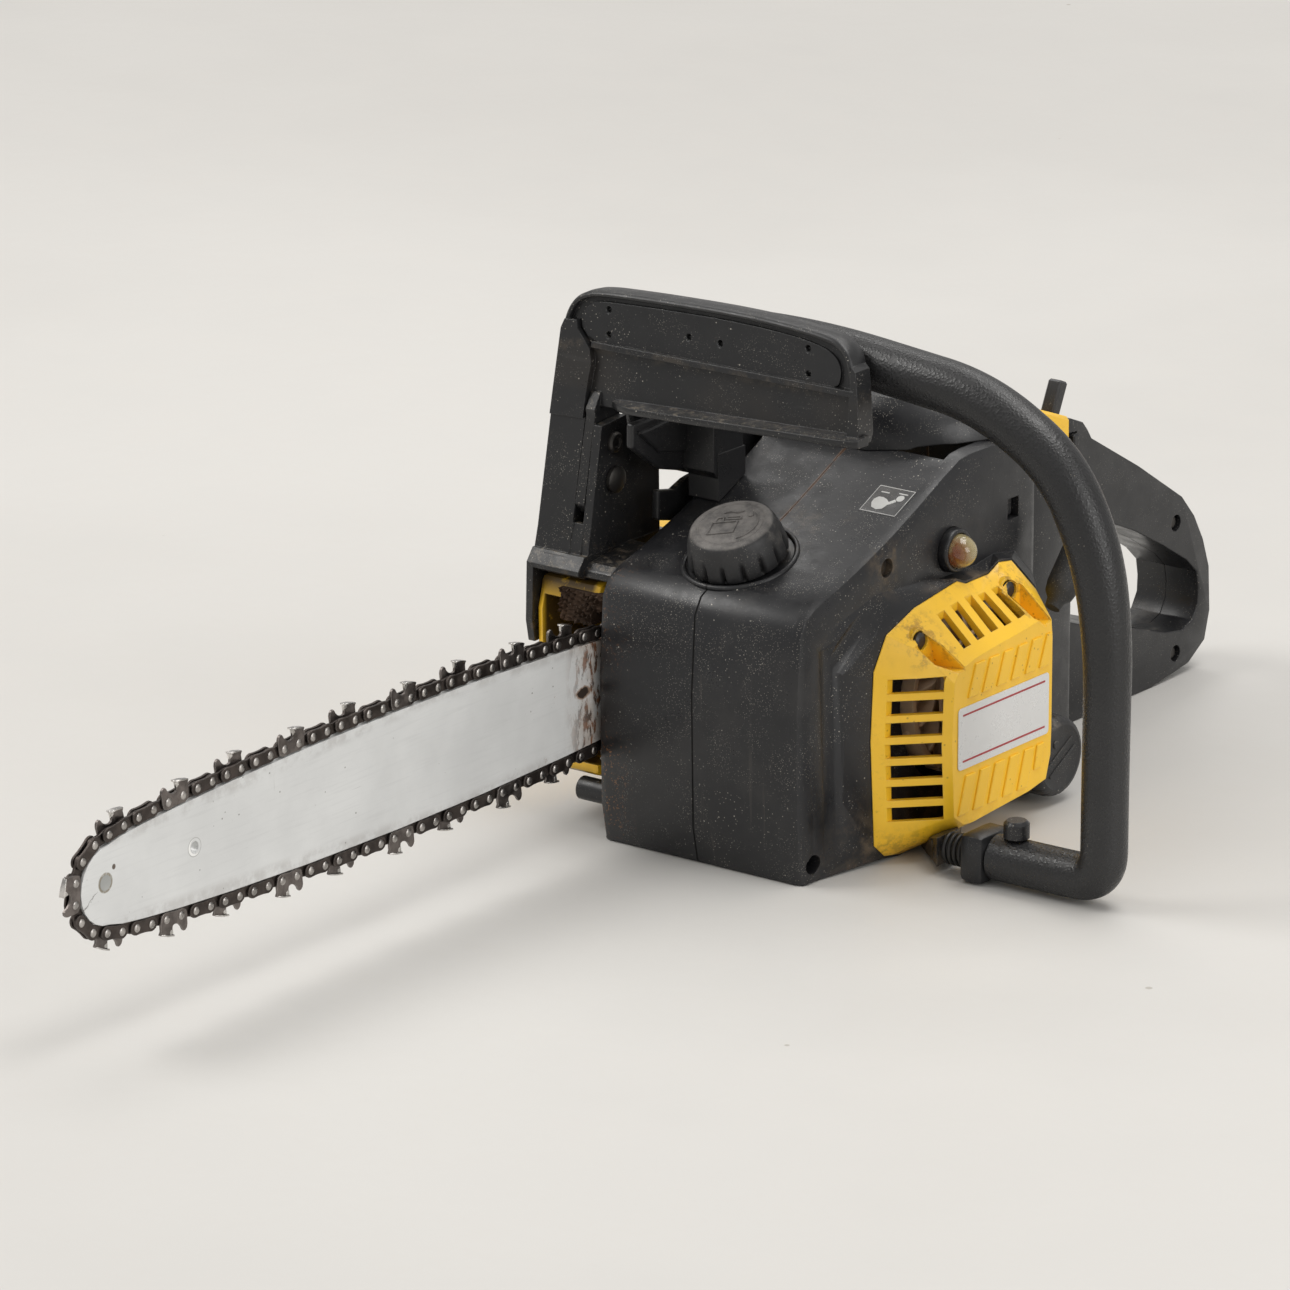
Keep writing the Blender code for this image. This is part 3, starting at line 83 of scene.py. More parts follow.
# =============================================================== shader helpers
class Graph:
    """A new material and short names for its nodes; colour and rough hold the finish so far."""

    def __init__(self, name):
        self.material = bpy.data.materials.new(name)
        self.material.use_nodes = True
        self.tree = self.material.node_tree
        self.place = self.node("ShaderNodeTexCoord").outputs["Object"]
        self.colour = None
        self.rough = None

    def put(self, socket, value):
        if isinstance(value, bpy.types.NodeSocket):
            self.tree.links.new(value, socket)
        elif socket.type == "RGBA":
            socket.default_value = (*value, 1.0)
        else:
            socket.default_value = value

    def node(self, kind, inputs=None, **settings):
        node = self.tree.nodes.new(kind)
        for key, value in settings.items():
            setattr(node, key, value)
        for key, value in (inputs or {}).items():
            self.put(node.inputs[key], value)
        return node

    def math(self, operation, a, b=0.0, clamp=False):
        inputs = dict(enumerate((a, b, 0.0)))
        return self.node("ShaderNodeMath", inputs, operation=operation, use_clamp=clamp).outputs[0]

    def fold(self, operation, values):
        return reduce(lambda a, b: self.math(operation, a, b), values)

    def times(self, *values):
        return self.fold("MULTIPLY", values)

    def plus(self, *values):
        return self.fold("ADD", values)

    def most(self, *values):
        return self.fold("MAXIMUM", values)

    def minus(self, a, b):
        return self.math("SUBTRACT", a, b)

    def gap(self, value, centre):
        return self.math("ABSOLUTE", self.minus(value, centre))

    def ramp(self, value, over, to=(0, 1), interpolation="SMOOTHSTEP"):
        """Maps the range `over` onto the range `to`, clamped at its ends."""
        inputs = {"Value": value, "From Min": over[0], "From Max": over[1],
                  "To Min": to[0], "To Max": to[1]}
        return self.node("ShaderNodeMapRange", inputs, interpolation_type=interpolation,
                         clamp=True).outputs["Result"]

    def band(self, value, at, half, soft):
        """1 inside at +- half, fading out over soft."""
        return self.ramp(self.gap(value, at), over=(half, half + soft), to=(1, 0))

    def spot(self, a, b, at, half, soft):
        """A soft square round `at` in the plane of the coordinates a and b."""
        return self.times(self.band(a, at[0], half, soft), self.band(b, at[1], half, soft))

    def stretched(self, scale, turn):
        inputs = {"Scale": scale, "Rotation": turn, "Vector": self.place}
        return self.node("ShaderNodeMapping", inputs).outputs["Vector"]

    def noise(self, scale, detail=3, rough=0.55, vector=None):
        inputs = {"Scale": scale, "Detail": detail, "Roughness": rough,
                  "Vector": vector or self.place}
        return self.node("ShaderNodeTexNoise", inputs).outputs["Fac"]

    def patches(self, scale, over, to=(0, 1), **texture):
        return self.ramp(self.noise(scale, **texture), over, to)

    def streaks(self, stretch, turn, **texture):
        return self.noise(scale=1, vector=self.stretched(stretch, turn), **texture)

    def cells(self, scale, feature="F1", vector=None):
        inputs = {"Scale": scale, "Vector": vector or self.place}
        return self.node("ShaderNodeTexVoronoi", inputs, feature=feature).outputs["Distance"]

    def dots(self, scale, over, vector=None):
        return self.ramp(self.cells(scale, vector=vector), over, to=(1, 0))

    def mix(self, factor, a, b):
        return self.node("ShaderNodeMix", {0: factor, 6: a, 7: b},
                         data_type="RGBA", blend_type="MIX").outputs[2]

    def stain(self, *masks, colour, amount=None):
        """Lays a colour over the finish where all the masks meet."""
        if amount is not None:
            masks += (amount,)
        self.colour = self.mix(self.times(*masks), self.colour, colour)

    def roughen(self, mask, amount):
        self.rough = self.plus(self.rough, self.times(mask, amount))

    def xyz(self, vector=None):
        return self.node("ShaderNodeSeparateXYZ", {0: vector or self.place}).outputs

    def normal(self):
        return self.node("ShaderNodeNewGeometry").outputs["Normal"]

    def facing(self, axis):
        return self.xyz(self.normal())[axis]

    def soft(self, radius):
        return self.node("ShaderNodeBevel", {"Radius": radius}, samples=4).outputs["Normal"]

    def edges(self, soft_normal, over):
        """Where the rounded normal leaves the true one."""
        dot = self.node("ShaderNodeVectorMath", {0: soft_normal, 1: self.normal()},
                        operation="DOT_PRODUCT")
        return self.ramp(dot.outputs["Value"], over)

    def bump(self, height, strength, distance, below=None):
        inputs = {"Strength": strength, "Distance": distance, "Height": height}
        if below is not None:
            inputs["Normal"] = below
        return self.node("ShaderNodeBump", inputs).outputs["Normal"]

    def close(self, normal, **others):
        """Feeds the surface; others are its inputs, with _ for a space."""
        surface = self.tree.nodes["Principled BSDF"]
        self.put(surface.inputs["Base Color"], self.colour)
        self.put(surface.inputs["Roughness"], self.rough)
        self.put(surface.inputs["Normal"], normal)
        for key, value in others.items():
            self.put(surface.inputs[key.replace("_", " ")], value)
        return self.material


def shade(colour, factor, lift=0.0):
    return tuple(min(1, c * factor + lift) for c in colour)


# ==================================================================== materials
DUST = (0.36, 0.33, 0.29)
SPECK = (0.74, 0.69, 0.60)


def finish(name, base, rough, metal=0.0, edge=0.0006, grain=0.25, grain_scale=1400, vary=0.12,
           dust=0.25, speck=0.0, worn=0.25, worn_colour=None, coat=0.0, scratch=0.0, dirt=None):
    """A moulded or metal surface: grain, blotches, settled dust, specks and rubbed edges."""
    g = Graph(name)
    broad = g.noise(scale=14, detail=4)
    cloud = g.noise(scale=85, detail=5, rough=0.6)
    fine = g.noise(scale=grain_scale, detail=2)
    g.colour = g.mix(g.ramp(broad, over=(0.3, 0.7)), shade(base, 1 - vary), shade(base, 1 + vary))
    g.stain(g.ramp(cloud, over=(0.35, 0.75), to=(0, vary)), colour=shade(base, 0.5))
    g.rough = g.plus(g.ramp(cloud, over=(0.3, 0.7), to=(rough - 0.06, rough + 0.08)),
                     g.ramp(fine, over=(0.3, 0.7), to=(-0.03, 0.03)))
    normal = g.soft(edge) if edge else None
    if worn and edge:
        g.stain(g.edges(normal, over=(0.97, 0.80)),
                g.patches(scale=160, detail=5, rough=0.7, over=(0.42, 0.68)),
                amount=worn, colour=worn_colour or shade(base, 2.4, lift=0.05))
    if scratch:
        along = g.streaks(stretch=(900, 25, 25), turn=(0.3, 0.9, 0.5), detail=2, rough=0.5)
        across = g.streaks(stretch=(28, 1100, 30), turn=(0.8, 0.2, 1.4), detail=2, rough=0.5)
        cut = g.most(g.ramp(along, over=(0.68, 0.74)), g.ramp(across, over=(0.69, 0.75)))
        g.stain(cut, amount=scratch, colour=shade(base, 1.9, lift=0.06))
        g.roughen(cut, amount=0.12)
    if dust:
        upward = g.ramp(g.facing(2), over=(-0.1, 0.95))
        drift = g.patches(scale=38, detail=8, rough=0.72, over=(0.50, 0.78))
        layer = g.math("MULTIPLY", g.times(drift, upward), dust, clamp=True)
        g.stain(layer, colour=DUST)
        g.roughen(layer, amount=0.35)
    if speck:
        upward = g.ramp(g.facing(2), over=(-0.2, 0.75), to=(0.55, 1))
        large = g.times(g.dots(scale=210, over=(0.060, 0.085)),
                        g.patches(scale=26, detail=5, rough=0.6, over=(0.52, 0.58)))
        medium = g.times(g.dots(scale=560, over=(0.11, 0.17)),
                         g.patches(scale=33, detail=6, rough=0.7, over=(0.48, 0.60)), 0.8)
        small = g.times(g.dots(scale=1150, over=(0.16, 0.24)),
                        g.patches(scale=58, detail=6, rough=0.7, over=(0.46, 0.62)), 0.6)
        specks = g.times(g.most(medium, small, large), upward, speck)
        g.stain(specks, colour=SPECK)
        g.roughen(specks, amount=0.3)
    # for the yellow finish this hook also paints shade inside the clutch mouth
    if dirt:
        dirt(g)
    pores = g.noise(scale=grain_scale * 0.45, detail=3, rough=0.6)
    normal = g.bump(pores, strength=grain, distance=0.0002, below=normal)
    normal = g.bump(cloud, strength=grain * 0.25, distance=0.0006, below=normal)
    gloss = {"Coat_Weight": coat, "Coat_Roughness": 0.18} if coat else {}
    return g.close(normal, Metallic=metal, **gloss)


def housing_dirt(g):
    """Film along the joint of the halves, dust on the front, mud, rust and dirt by the cap."""
    x, y, z = g.xyz()
    patch = g.patches(scale=70, detail=8, rough=0.75, over=(0.44, 0.64))
    side = g.ramp(x, over=(0.056, 0.066))
    g.stain(g.band(x, at=HOUSING_JOINT, half=0.0003, soft=0.0009), g.ramp(z, over=(0.128, 0.140)),
            g.patches(scale=55, detail=6, rough=0.7, over=(0.36, 0.52)),
            amount=0.7, colour=(0.16, 0.075, 0.030))
    # dark line of the joint down the front
    joint = g.times(g.band(x, at=HOUSING_JOINT, half=0.00045, soft=0.00015),
                    g.ramp(z, over=(0.131, 0.127)), g.ramp(y, over=(-0.090, -0.098)))
    g.stain(joint, colour=(0.0006, 0.0006, 0.0006))
    g.roughen(joint, amount=0.5)
    # dull film and upright streaks towards the front
    g.stain(g.patches(scale=20, detail=5, rough=0.6, over=(0.50, 0.72)),
            g.ramp(y, over=(-0.070, -0.100)), amount=0.04, colour=(0.32, 0.29, 0.26))
    streaks = g.streaks(stretch=(260, 260, 9), turn=(0.1, 0, 0), detail=4, rough=0.6)
    g.stain(g.ramp(streaks, over=(0.60, 0.72)), g.ramp(y, over=(-0.060, -0.098)),
            g.patches(scale=17, over=(0.45, 0.6)), amount=0.07, colour=(0.30, 0.26, 0.22))
    # mud low on the +X side, round the primer and round the hole before it
    low = g.times(side, g.ramp(z, over=(0.040, 0.004)), patch)
    primer = g.times(g.band(y, at=0.004, half=0.012, soft=0.022),
                     g.band(z, at=0.128, half=0.010, soft=0.018), side)
    hole = g.times(g.spot(y, z, at=(-0.046, 0.134), half=0.005, soft=0.012),
                   g.ramp(x, over=(0.050, 0.056)))
    mud = g.most(low, g.times(g.most(primer, hole), patch))
    g.stain(mud, amount=0.6, colour=(0.17, 0.125, 0.08))
    # rust freckles at the front of the bar side
    g.stain(g.ramp(x, over=(-0.030, -0.054)), g.ramp(y, over=(-0.085, -0.112)),
            g.patches(scale=620, detail=5, rough=0.7, over=(0.585, 0.62)),
            g.most(g.band(z, at=0.030, half=0.016, soft=0.016),
                   g.times(g.ramp(z, over=(0.06, 0.09)), 0.35)),
            amount=0.85, colour=(0.30, 0.13, 0.045))
    # behind the fuel cap
    g.stain(g.band(y, at=-0.052, half=0.010, soft=0.02),
            g.band(x, at=0.004, half=0.012, soft=0.028),
            g.patches(scale=90, detail=8, rough=0.8, over=(0.5, 0.66)),
            amount=0.35, colour=(0.17, 0.13, 0.09))
    g.roughen(mud, amount=0.3)


def cap_dust(g):
    """Grey dust lying on the fuel cap's flat top."""
    _, y, z = g.xyz()
    lift = g.plus(g.times(g.plus(y, -CAP_Y * MM), -math.sin(TILT)),
                  g.times(g.minus(z, roof(CAP_Y) * MM), math.cos(TILT)))
    layer = g.times(g.ramp(lift, over=(0.0178, 0.0188)),
                    g.patches(scale=130, detail=7, rough=0.7, over=(0.30, 0.62), to=(0.35, 1)),
                    g.band(y, at=CAP_Y * MM, half=0.030, soft=0.002))
    g.stain(layer, amount=0.9, colour=(0.205, 0.192, 0.180))
    g.roughen(layer, amount=0.25)


def guard_dirt(g):
    """Dirt low on the guard, on its ledge, on its sill and between the two."""
    z = g.xyz()[2]
    g.stain(g.ramp(z, over=(0.145, 0.120)),
            g.patches(scale=150, detail=7, rough=0.75, over=(0.54, 0.68)),
            amount=0.35, colour=(0.17, 0.12, 0.075))
    g.stain(g.band(z, at=0.2195, half=0.0012, soft=0.003),
            g.patches(scale=95, detail=6, rough=0.7, over=(0.46, 0.60)),
            amount=0.14, colour=(0.22, 0.17, 0.12))
    g.stain(g.ramp(z, over=(0.2055, 0.198)),
            g.patches(scale=260, detail=6, rough=0.75, over=(0.50, 0.62)),
            g.ramp(g.facing(2), over=(0.3, 0.8)), amount=0.5, colour=(0.24, 0.20, 0.15))
    g.stain(g.band(z, at=0.210, half=0.006, soft=0.006),
            g.patches(scale=18, detail=4, over=(0.4, 0.65)),
            amount=0.10, colour=(0.10, 0.078, 0.055))


def yellow_dirt_and_shade(g):
    """Smears and soot at the rim, dirt by the screws, painted shade in the clutch mouth, and pits.
    """
    x, y, z = g.xyz()
    smear = g.patches(scale=48, detail=7, rough=0.7, over=(0.52, 0.78))
    rim = g.ramp(x, over=(0.080, 0.0665))
    film = g.times(g.most(g.times(rim, 0.7), 0.14), smear)
    g.stain(film, amount=0.35, colour=(0.34, 0.17, 0.03))
    g.stain(g.patches(scale=210, detail=6, rough=0.75, over=(0.56, 0.74)), rim,
            amount=0.28, colour=(0.06, 0.035, 0.018))
    screws = g.most(*(g.spot(y, z, at=(screw_y * MM, screw_z * MM), half=0.006, soft=0.008)
                      for screw_y, screw_z in COVER_SCREWS))
    g.stain(screws, g.patches(scale=190, detail=6, rough=0.7, over=(0.46, 0.62)),
            amount=0.55, colour=(0.20, 0.09, 0.02))
    g.stain(g.ramp(z, over=(0.022, 0.008)),
            g.patches(scale=170, detail=6, rough=0.7, over=(0.44, 0.6)),
            amount=0.4, colour=(0.12, 0.065, 0.02))
    # painted shade: dark brown inside the clutch cover's front mouth
    mouth = g.times(g.ramp(x, over=(-0.0700, -0.0725)), g.ramp(x, over=(-0.099, -0.0965)))
    mouth = g.most(g.times(mouth, g.ramp(y, over=(-0.097, -0.090))),
                   g.times(g.ramp(x, over=(-0.066, -0.070)), g.ramp(y, over=(-0.100, -0.096))))
    g.stain(mouth, g.patches(scale=150, detail=7, rough=0.75, over=(0.30, 0.46)),
            g.ramp(x, over=(0, -0.010)), g.ramp(y, over=(-0.050, -0.066)),
            g.ramp(g.facing(0), over=(-0.7, -0.3)), amount=0.93, colour=(0.045, 0.026, 0.013))
    g.stain(g.dots(scale=260, over=(0.10, 0.16)), g.patches(scale=40, detail=4, over=(0.5, 0.6)),
            amount=0.45, colour=(0.14, 0.06, 0.01))
    g.roughen(film, amount=0.2)


def bar_paint(name):
    """Light grey paint: streaks along the bar, dark nicks, oily rails, rust by the body; painted
    shade in two holes and a painted highlight crescent.
    """
    g = Graph(name)
    _, y, z = g.xyz()

    def reach(centre, radii):
        """Distance from centre (y, z), 1 on the ellipse with these radii."""
        parts = (g.math("POWER", g.math("DIVIDE", g.minus(value, at), radius), 2.0)
                 for value, at, radius in zip((y, z), centre, radii))
        return g.math("SQRT", g.plus(*parts))

    def wobble(scale, amount):
        return g.times(g.minus(g.noise(scale), 0.5), amount)

    cloud = g.noise(scale=18, detail=6, rough=0.6)
    streak = g.streaks(stretch=(1, 30, 650), turn=(0.02, 0, 0), detail=6, rough=0.6)
    g.colour = g.mix(g.ramp(cloud, over=(0.3, 0.7)), (0.665, 0.672, 0.668), (0.745, 0.752, 0.746))
    g.stain(g.ramp(streak, over=(0.48, 0.78), to=(0, 0.22)), colour=(0.50, 0.505, 0.505))
    # duller towards the body
    g.stain(g.ramp(y, over=(-0.34, -0.12)),
            g.patches(scale=26, detail=6, rough=0.65, over=(0.32, 0.7), to=(0.25, 1)),
            amount=0.08, colour=(0.42, 0.42, 0.41))
    # nicks, then scratches along and across the bar
    shifted = g.stretched(scale=(1, 1, 1), turn=(0.3, 0, 0))
    g.stain(g.dots(scale=190, over=(0.04, 0.10), vector=shifted),
            g.patches(scale=30, detail=5, over=(0.47, 0.60)),
            amount=0.85, colour=(0.10, 0.085, 0.07))
    scratches = g.streaks(stretch=(1, 26, 900), turn=(0.22, 0, 0), detail=3, rough=0.5)
    g.stain(g.ramp(scratches, over=(0.70, 0.755)), g.patches(scale=16, detail=2, over=(0.5, 0.62)),
            amount=0.6, colour=(0.20, 0.19, 0.18))
    scratches = g.streaks(stretch=(1, 700, 24), turn=(0.35, 0, 0), detail=3, rough=0.5)
    g.stain(g.ramp(scratches, over=(0.72, 0.77)), g.patches(scale=12, detail=2, over=(0.52, 0.6)),
            amount=0.5, colour=(0.24, 0.23, 0.21))
    # oily along both rails
    belly = g.ramp(g.math("ABSOLUTE", g.plus(y, 0.221)), over=(0, 0.205), to=(0.0270, 0.0190),
                   interpolation="LINEAR")
    g.stain(g.ramp(g.minus(g.gap(z, CRANK_Z * MM), belly), over=(-0.0045, 0)),
            g.patches(scale=90, detail=7, rough=0.7, over=(0.40, 0.62)),
            amount=0.28, colour=(0.22, 0.19, 0.165))
    # a slanting crack-like scratch on the nose
    slant = g.plus(g.minus(z, 0.0630), g.times(g.plus(y, 0.4579), -0.667))
    g.stain(g.ramp(g.gap(slant, wobble(scale=420, amount=0.004)),
                   over=(0.00014, 0.00040), to=(1, 0)),
            g.band(y, at=-0.4537, half=0.0042, soft=0.0008), amount=0.7, colour=(0.13, 0.12, 0.11))
    # a hole drawn as a dark rim, with a painted highlight: a pale crescent where light catches one
    # side
    disc = reach(centre=(-0.3869, 0.0717), radii=(0.0040, 0.0040))
    cutoff = reach(centre=(-0.3860, 0.0722), radii=(0.0040, 0.0040))
    g.stain(g.ramp(disc, over=(1.12, 1.04)), g.ramp(disc, over=(0.98, 1.03)),
            amount=0.55, colour=(0.20, 0.19, 0.17))
    g.stain(g.ramp(disc, over=(1.0, 0.93)), g.ramp(cutoff, over=(0.90, 0.98)),
            amount=0.9, colour=(0.93, 0.93, 0.91))
    # painted shade for a small hole, and a brown disc at the nose
    g.stain(g.ramp(reach(centre=(-0.4385, 0.0772), radii=(0.0011, 0.0012)), over=(1.15, 0.85)),
            amount=0.92, colour=(0.07, 0.04, 0.02))
    g.stain(g.ramp(reach(centre=(-0.444, 0.0715), radii=(0.0044, 0.0044)), over=(1.08, 0.95)),
            g.patches(scale=500, detail=4, over=(0.3, 0.55), to=(0.45, 1)),
            amount=0.8, colour=(0.17, 0.135, 0.07))
    # rust and caked oil where the bar goes into the body
    heel = g.ramp(y, over=(-0.134, -0.112))
    runs = g.streaks(stretch=(1, 210, 75), turn=(0.4, 0, 0), detail=7, rough=0.7)
    g.stain(heel, g.patches(scale=46, detail=6, rough=0.7, over=(0.40, 0.62)),
            amount=0.45, colour=(0.36, 0.24, 0.15))
    rust = g.mix(g.patches(scale=240, detail=4, over=(0.4, 0.6)),
                 (0.21, 0.075, 0.022), (0.05, 0.022, 0.010))
    g.stain(heel, g.ramp(runs, over=(0.50, 0.56)), amount=0.92, colour=rust)
    # a ragged hole close to the body: a rusty rim, and painted shade for its inside
    notch = g.plus(reach(centre=(-0.1187, 0.0719), radii=(0.0046, 0.0026)),
                   wobble(scale=300, amount=0.9))
    g.stain(g.ramp(notch, over=(1.35, 1.0)), amount=0.8, colour=(0.26, 0.13, 0.055))
    # painted shade inside the hole
    g.stain(g.ramp(notch, over=(1.0, 0.8), to=(0, 0.95)), colour=(0.020, 0.014, 0.010))
    g.stain(g.ramp(y, over=(-0.235, -0.12)),
            g.patches(scale=105, detail=8, rough=0.8, over=(0.62, 0.70)),
            amount=0.8, colour=(0.25, 0.13, 0.06))
    g.rough = g.ramp(cloud, over=(0.3, 0.7), to=(0.34, 0.44))
    g.roughen(heel, amount=0.2)
    normal = g.bump(streak, strength=0.10, distance=0.0002, below=g.soft(0.0005))
    normal = g.bump(g.noise(scale=420), strength=0.08, distance=0.0002, below=normal)
    return g.close(normal, Metallic=0.08)


def pebbled_grip(name):
    """Moulded grip with a pebbled grain whose raised parts are rubbed glossy."""
    g = Graph(name)
    y = g.xyz()[1]
    pebbles = g.ramp(g.cells(scale=820, feature="SMOOTH_F1"), over=(0.1, 0.7), to=(1, 0))
    height = g.plus(g.times(pebbles, 0.7),
                    g.times(g.noise(scale=900, detail=4, rough=0.65), 0.5))
    g.colour = g.mix(g.patches(scale=12, detail=4, over=(0.3, 0.7)),
                     (0.0095, 0.0095, 0.0100), (0.0170, 0.0170, 0.0180))
    g.stain(g.band(y, at=-0.0425, half=0.0008, soft=0.0016),
            g.patches(scale=34, detail=4, over=(0.46, 0.56)),
            amount=0.25, colour=(0.09, 0.045, 0.02))
    g.stain(g.dots(scale=300, over=(0.05, 0.09)),
            g.patches(scale=28, detail=4, over=(0.55, 0.66)),
            amount=0.5, colour=(0.42, 0.37, 0.3))
    g.rough = g.ramp(height, over=(0.4, 1.0), to=(0.46, 0.27))
    g.roughen(g.patches(scale=24, detail=4, rough=0.6, over=(0.40, 0.62)), amount=-0.04)
    normal = g.bump(height, strength=0.48, distance=0.0003)
    normal = g.bump(g.noise(scale=60), strength=0.04, distance=0.001, below=normal)
    return g.close(normal, Specular_IOR_Level=0.55)


def chain_finish(name, base, rough, bright, metal=0.85):
    """Oiled steel with baked-on dirt; bright is how strongly the corners are rubbed."""
    g = Graph(name)
    cloud = g.noise(scale=140, detail=5, rough=0.65)
    grit = g.noise(scale=700, detail=4, rough=0.7)
    g.colour = g.mix(g.ramp(cloud, over=(0.35, 0.65)), shade(base, 0.7), shade(base, 1.3))
    g.stain(g.ramp(grit, over=(0.55, 0.75), to=(0, 0.5)), colour=(0.07, 0.042, 0.025))
    soft = g.soft(0.0003)
    g.stain(g.edges(soft, over=(0.985, 0.85)), amount=bright, colour=(0.62, 0.60, 0.58))
    g.rough = g.ramp(cloud, over=(0.3, 0.7), to=(rough - 0.08, rough + 0.12))
    normal = g.bump(grit, strength=0.25, distance=0.00015, below=soft)
    return g.close(normal, Metallic=metal)


def amber_glass(name):
    """Clear amber, browned towards the front."""
    g = Graph(name)
    brown = g.times(g.ramp(g.xyz()[1], over=(0.0030, -0.0040)),
                    g.patches(scale=120, detail=4, over=(0.30, 0.50)))
    g.colour = g.mix(brown, (1.0, 0.84, 0.44), (0.60, 0.16, 0.05))
    g.rough = g.patches(scale=160, detail=5, over=(0.35, 0.7), to=(0.05, 0.16))
    normal = g.bump(g.noise(scale=240), strength=0.04, distance=0.0003)
    return g.close(normal, IOR=1.43, Transmission_Weight=0.70, Coat_Weight=0.6)


def floor_finish():
    """Pale floor with faint scratches and sparse dots."""
    g = Graph("studio_floor")
    cloud = g.noise(scale=1.3, detail=4, rough=0.5)
    fine = g.noise(scale=26, detail=6, rough=0.65)
    g.colour = g.mix(g.ramp(cloud, over=(0.35, 0.65)), (0.575, 0.562, 0.538), (0.618, 0.606, 0.582))
    g.stain(g.ramp(fine, over=(0.42, 0.72), to=(0, 0.10)), colour=(0.58, 0.555, 0.52))
    scratches = g.streaks(stretch=(1.1, 42, 1), turn=(0, 0, 0.9), detail=3, rough=0.5)
    g.stain(g.ramp(scratches, over=(0.735, 0.765)),
            g.patches(scale=3.5, detail=2, over=(0.52, 0.60)),
            amount=0.25, colour=(0.45, 0.42, 0.38))
    g.stain(g.dots(scale=17, over=(0.022, 0.032)),
            g.patches(scale=2.2, detail=2, over=(0.52, 0.58)),
            amount=0.55, colour=(0.30, 0.26, 0.21))
    g.rough = g.ramp(fine, over=(0.3, 0.7), to=(0.50, 0.62))
    normal = g.bump(fine, strength=0.05, distance=0.001)
    return g.close(normal, Specular_IOR_Level=0.35)


BLACK = finish("black_plastic_body", (0.0125, 0.0128, 0.0145), rough=0.35, grain=0.20, dust=0.06,
               speck=0.72, worn=0.5, worn_colour=(0.10, 0.10, 0.105), scratch=0.05,
               dirt=housing_dirt)
BLACK_SMOOTH = finish("black_plastic_plain", (0.0125, 0.0127, 0.0140), rough=0.34, grain=0.16,
                      dust=0.08, speck=0.4, worn=0.45, worn_colour=(0.10, 0.10, 0.105),
                      scratch=0.06)
BLACK_GUARD = finish("black_plastic_guard", (0.0130, 0.0132, 0.0142), rough=0.35, grain=0.20,
                     dust=0.025, speck=0.65, worn=0.7, worn_colour=(0.13, 0.13, 0.13),
                     scratch=0.08, dirt=guard_dirt)
BLACK_CAP = finish("black_plastic_cap", (0.020, 0.020, 0.021), rough=0.48, grain=0.45, dust=0.9,
                   speck=0.6, worn=0.5, worn_colour=(0.12, 0.12, 0.115), dirt=cap_dust)
BLACK_HANDLE = finish("black_plastic_rear_handle", (0.0125, 0.0127, 0.0140), rough=0.34,
                      grain=0.14, dust=0.40, speck=0.4, worn=0.4,
                      worn_colour=(0.09, 0.09, 0.095), scratch=0.06)
GRIP = pebbled_grip("grip_pebbled")
YELLOW = finish("yellow_plastic_worn_painted_shade", (0.96, 0.565, 0.026), rough=0.36, grain=0.10, vary=0.05,
                dust=0.02, worn=0.6, worn_colour=(0.98, 0.80, 0.28), coat=0.15, dirt=yellow_dirt_and_shade)
BAR = bar_paint("bar_paint_worn_painted_light")
STEEL = finish("screw_steel", (0.45, 0.44, 0.43), rough=0.34, metal=1.0, edge=0.0003, grain=0.10,
               vary=0.25, dust=0.35, worn=0.3)
DARK_STEEL = finish("blackened_screw", (0.09, 0.085, 0.08), rough=0.42, metal=0.9, edge=0.0003,
                    grain=0.15, vary=0.3, dust=0.4, worn=0.5)
ALUMINIUM = finish("cast_aluminium_rough", (0.50, 0.50, 0.50), rough=0.50, metal=1.0, grain=0.6,
                   grain_scale=900, vary=0.18, dust=0.35, worn=0.3)
RUST = finish("rusty_steel_rough", (0.14, 0.062, 0.028), rough=0.78, metal=0.35, grain=0.8,
              grain_scale=700, vary=0.45, dust=0.3, worn=0.2)
CREAM = finish("flywheel_cream", (0.50, 0.36, 0.24), rough=0.55, vary=0.2, dust=0.4, worn=0.3)
FOAM = finish("filter_foam_open", (0.20, 0.17, 0.10), rough=0.95, grain=1.0, grain_scale=1500,
              vary=0.35, dust=0.4, worn=0.0)
CERAMIC = finish("glazed_ceramic", (0.72, 0.73, 0.72), rough=0.18, edge=0.0003, grain=0.03,
                 vary=0.05, dust=0.2, worn=0.0, coat=0.5)
SPRING = finish("spring_black", (0.030, 0.029, 0.028), rough=0.36, metal=0.6, edge=0.0, grain=0.2,
                vary=0.3, dust=0.35)
RUBBER = finish("soft_rubber", (0.018, 0.018, 0.018), rough=0.62, grain=0.4, speck=0.3, worn=0.1)
AMBER = amber_glass("amber_bulb_clear")
CHAIN_DARK = chain_finish("chain_link_oiled", (0.070, 0.058, 0.052), rough=0.42, bright=0.22)
CHAIN_TOOTH = chain_finish("chain_tooth_oiled", (0.17, 0.15, 0.14), rough=0.34, bright=0.55,
                           metal=0.95)
CHAIN_RIVET = chain_finish("chain_rivet_bright", (0.40, 0.38, 0.36), rough=0.30, bright=0.35,
                           metal=1.0)
CHAIN_CUTTER = chain_finish("chain_cutter_bright", (0.62, 0.60, 0.575), rough=0.22, bright=0.7,
                            metal=1.0)
LABEL = finish("label_silver", (0.72, 0.72, 0.71), rough=0.30, metal=0.10, edge=0.0003,
               grain=0.02, vary=0.03, dust=0.02, worn=0.1, scratch=0.12)
LABEL_RED = finish("label_red_line", (0.42, 0.035, 0.04), rough=0.34, edge=0.0, grain=0.03,
                   vary=0.15, dust=0.10)
STICKER = finish("sticker_black", (0.016, 0.016, 0.016), rough=0.28, edge=0.0, grain=0.05,
                 dust=0.2, speck=0.4)
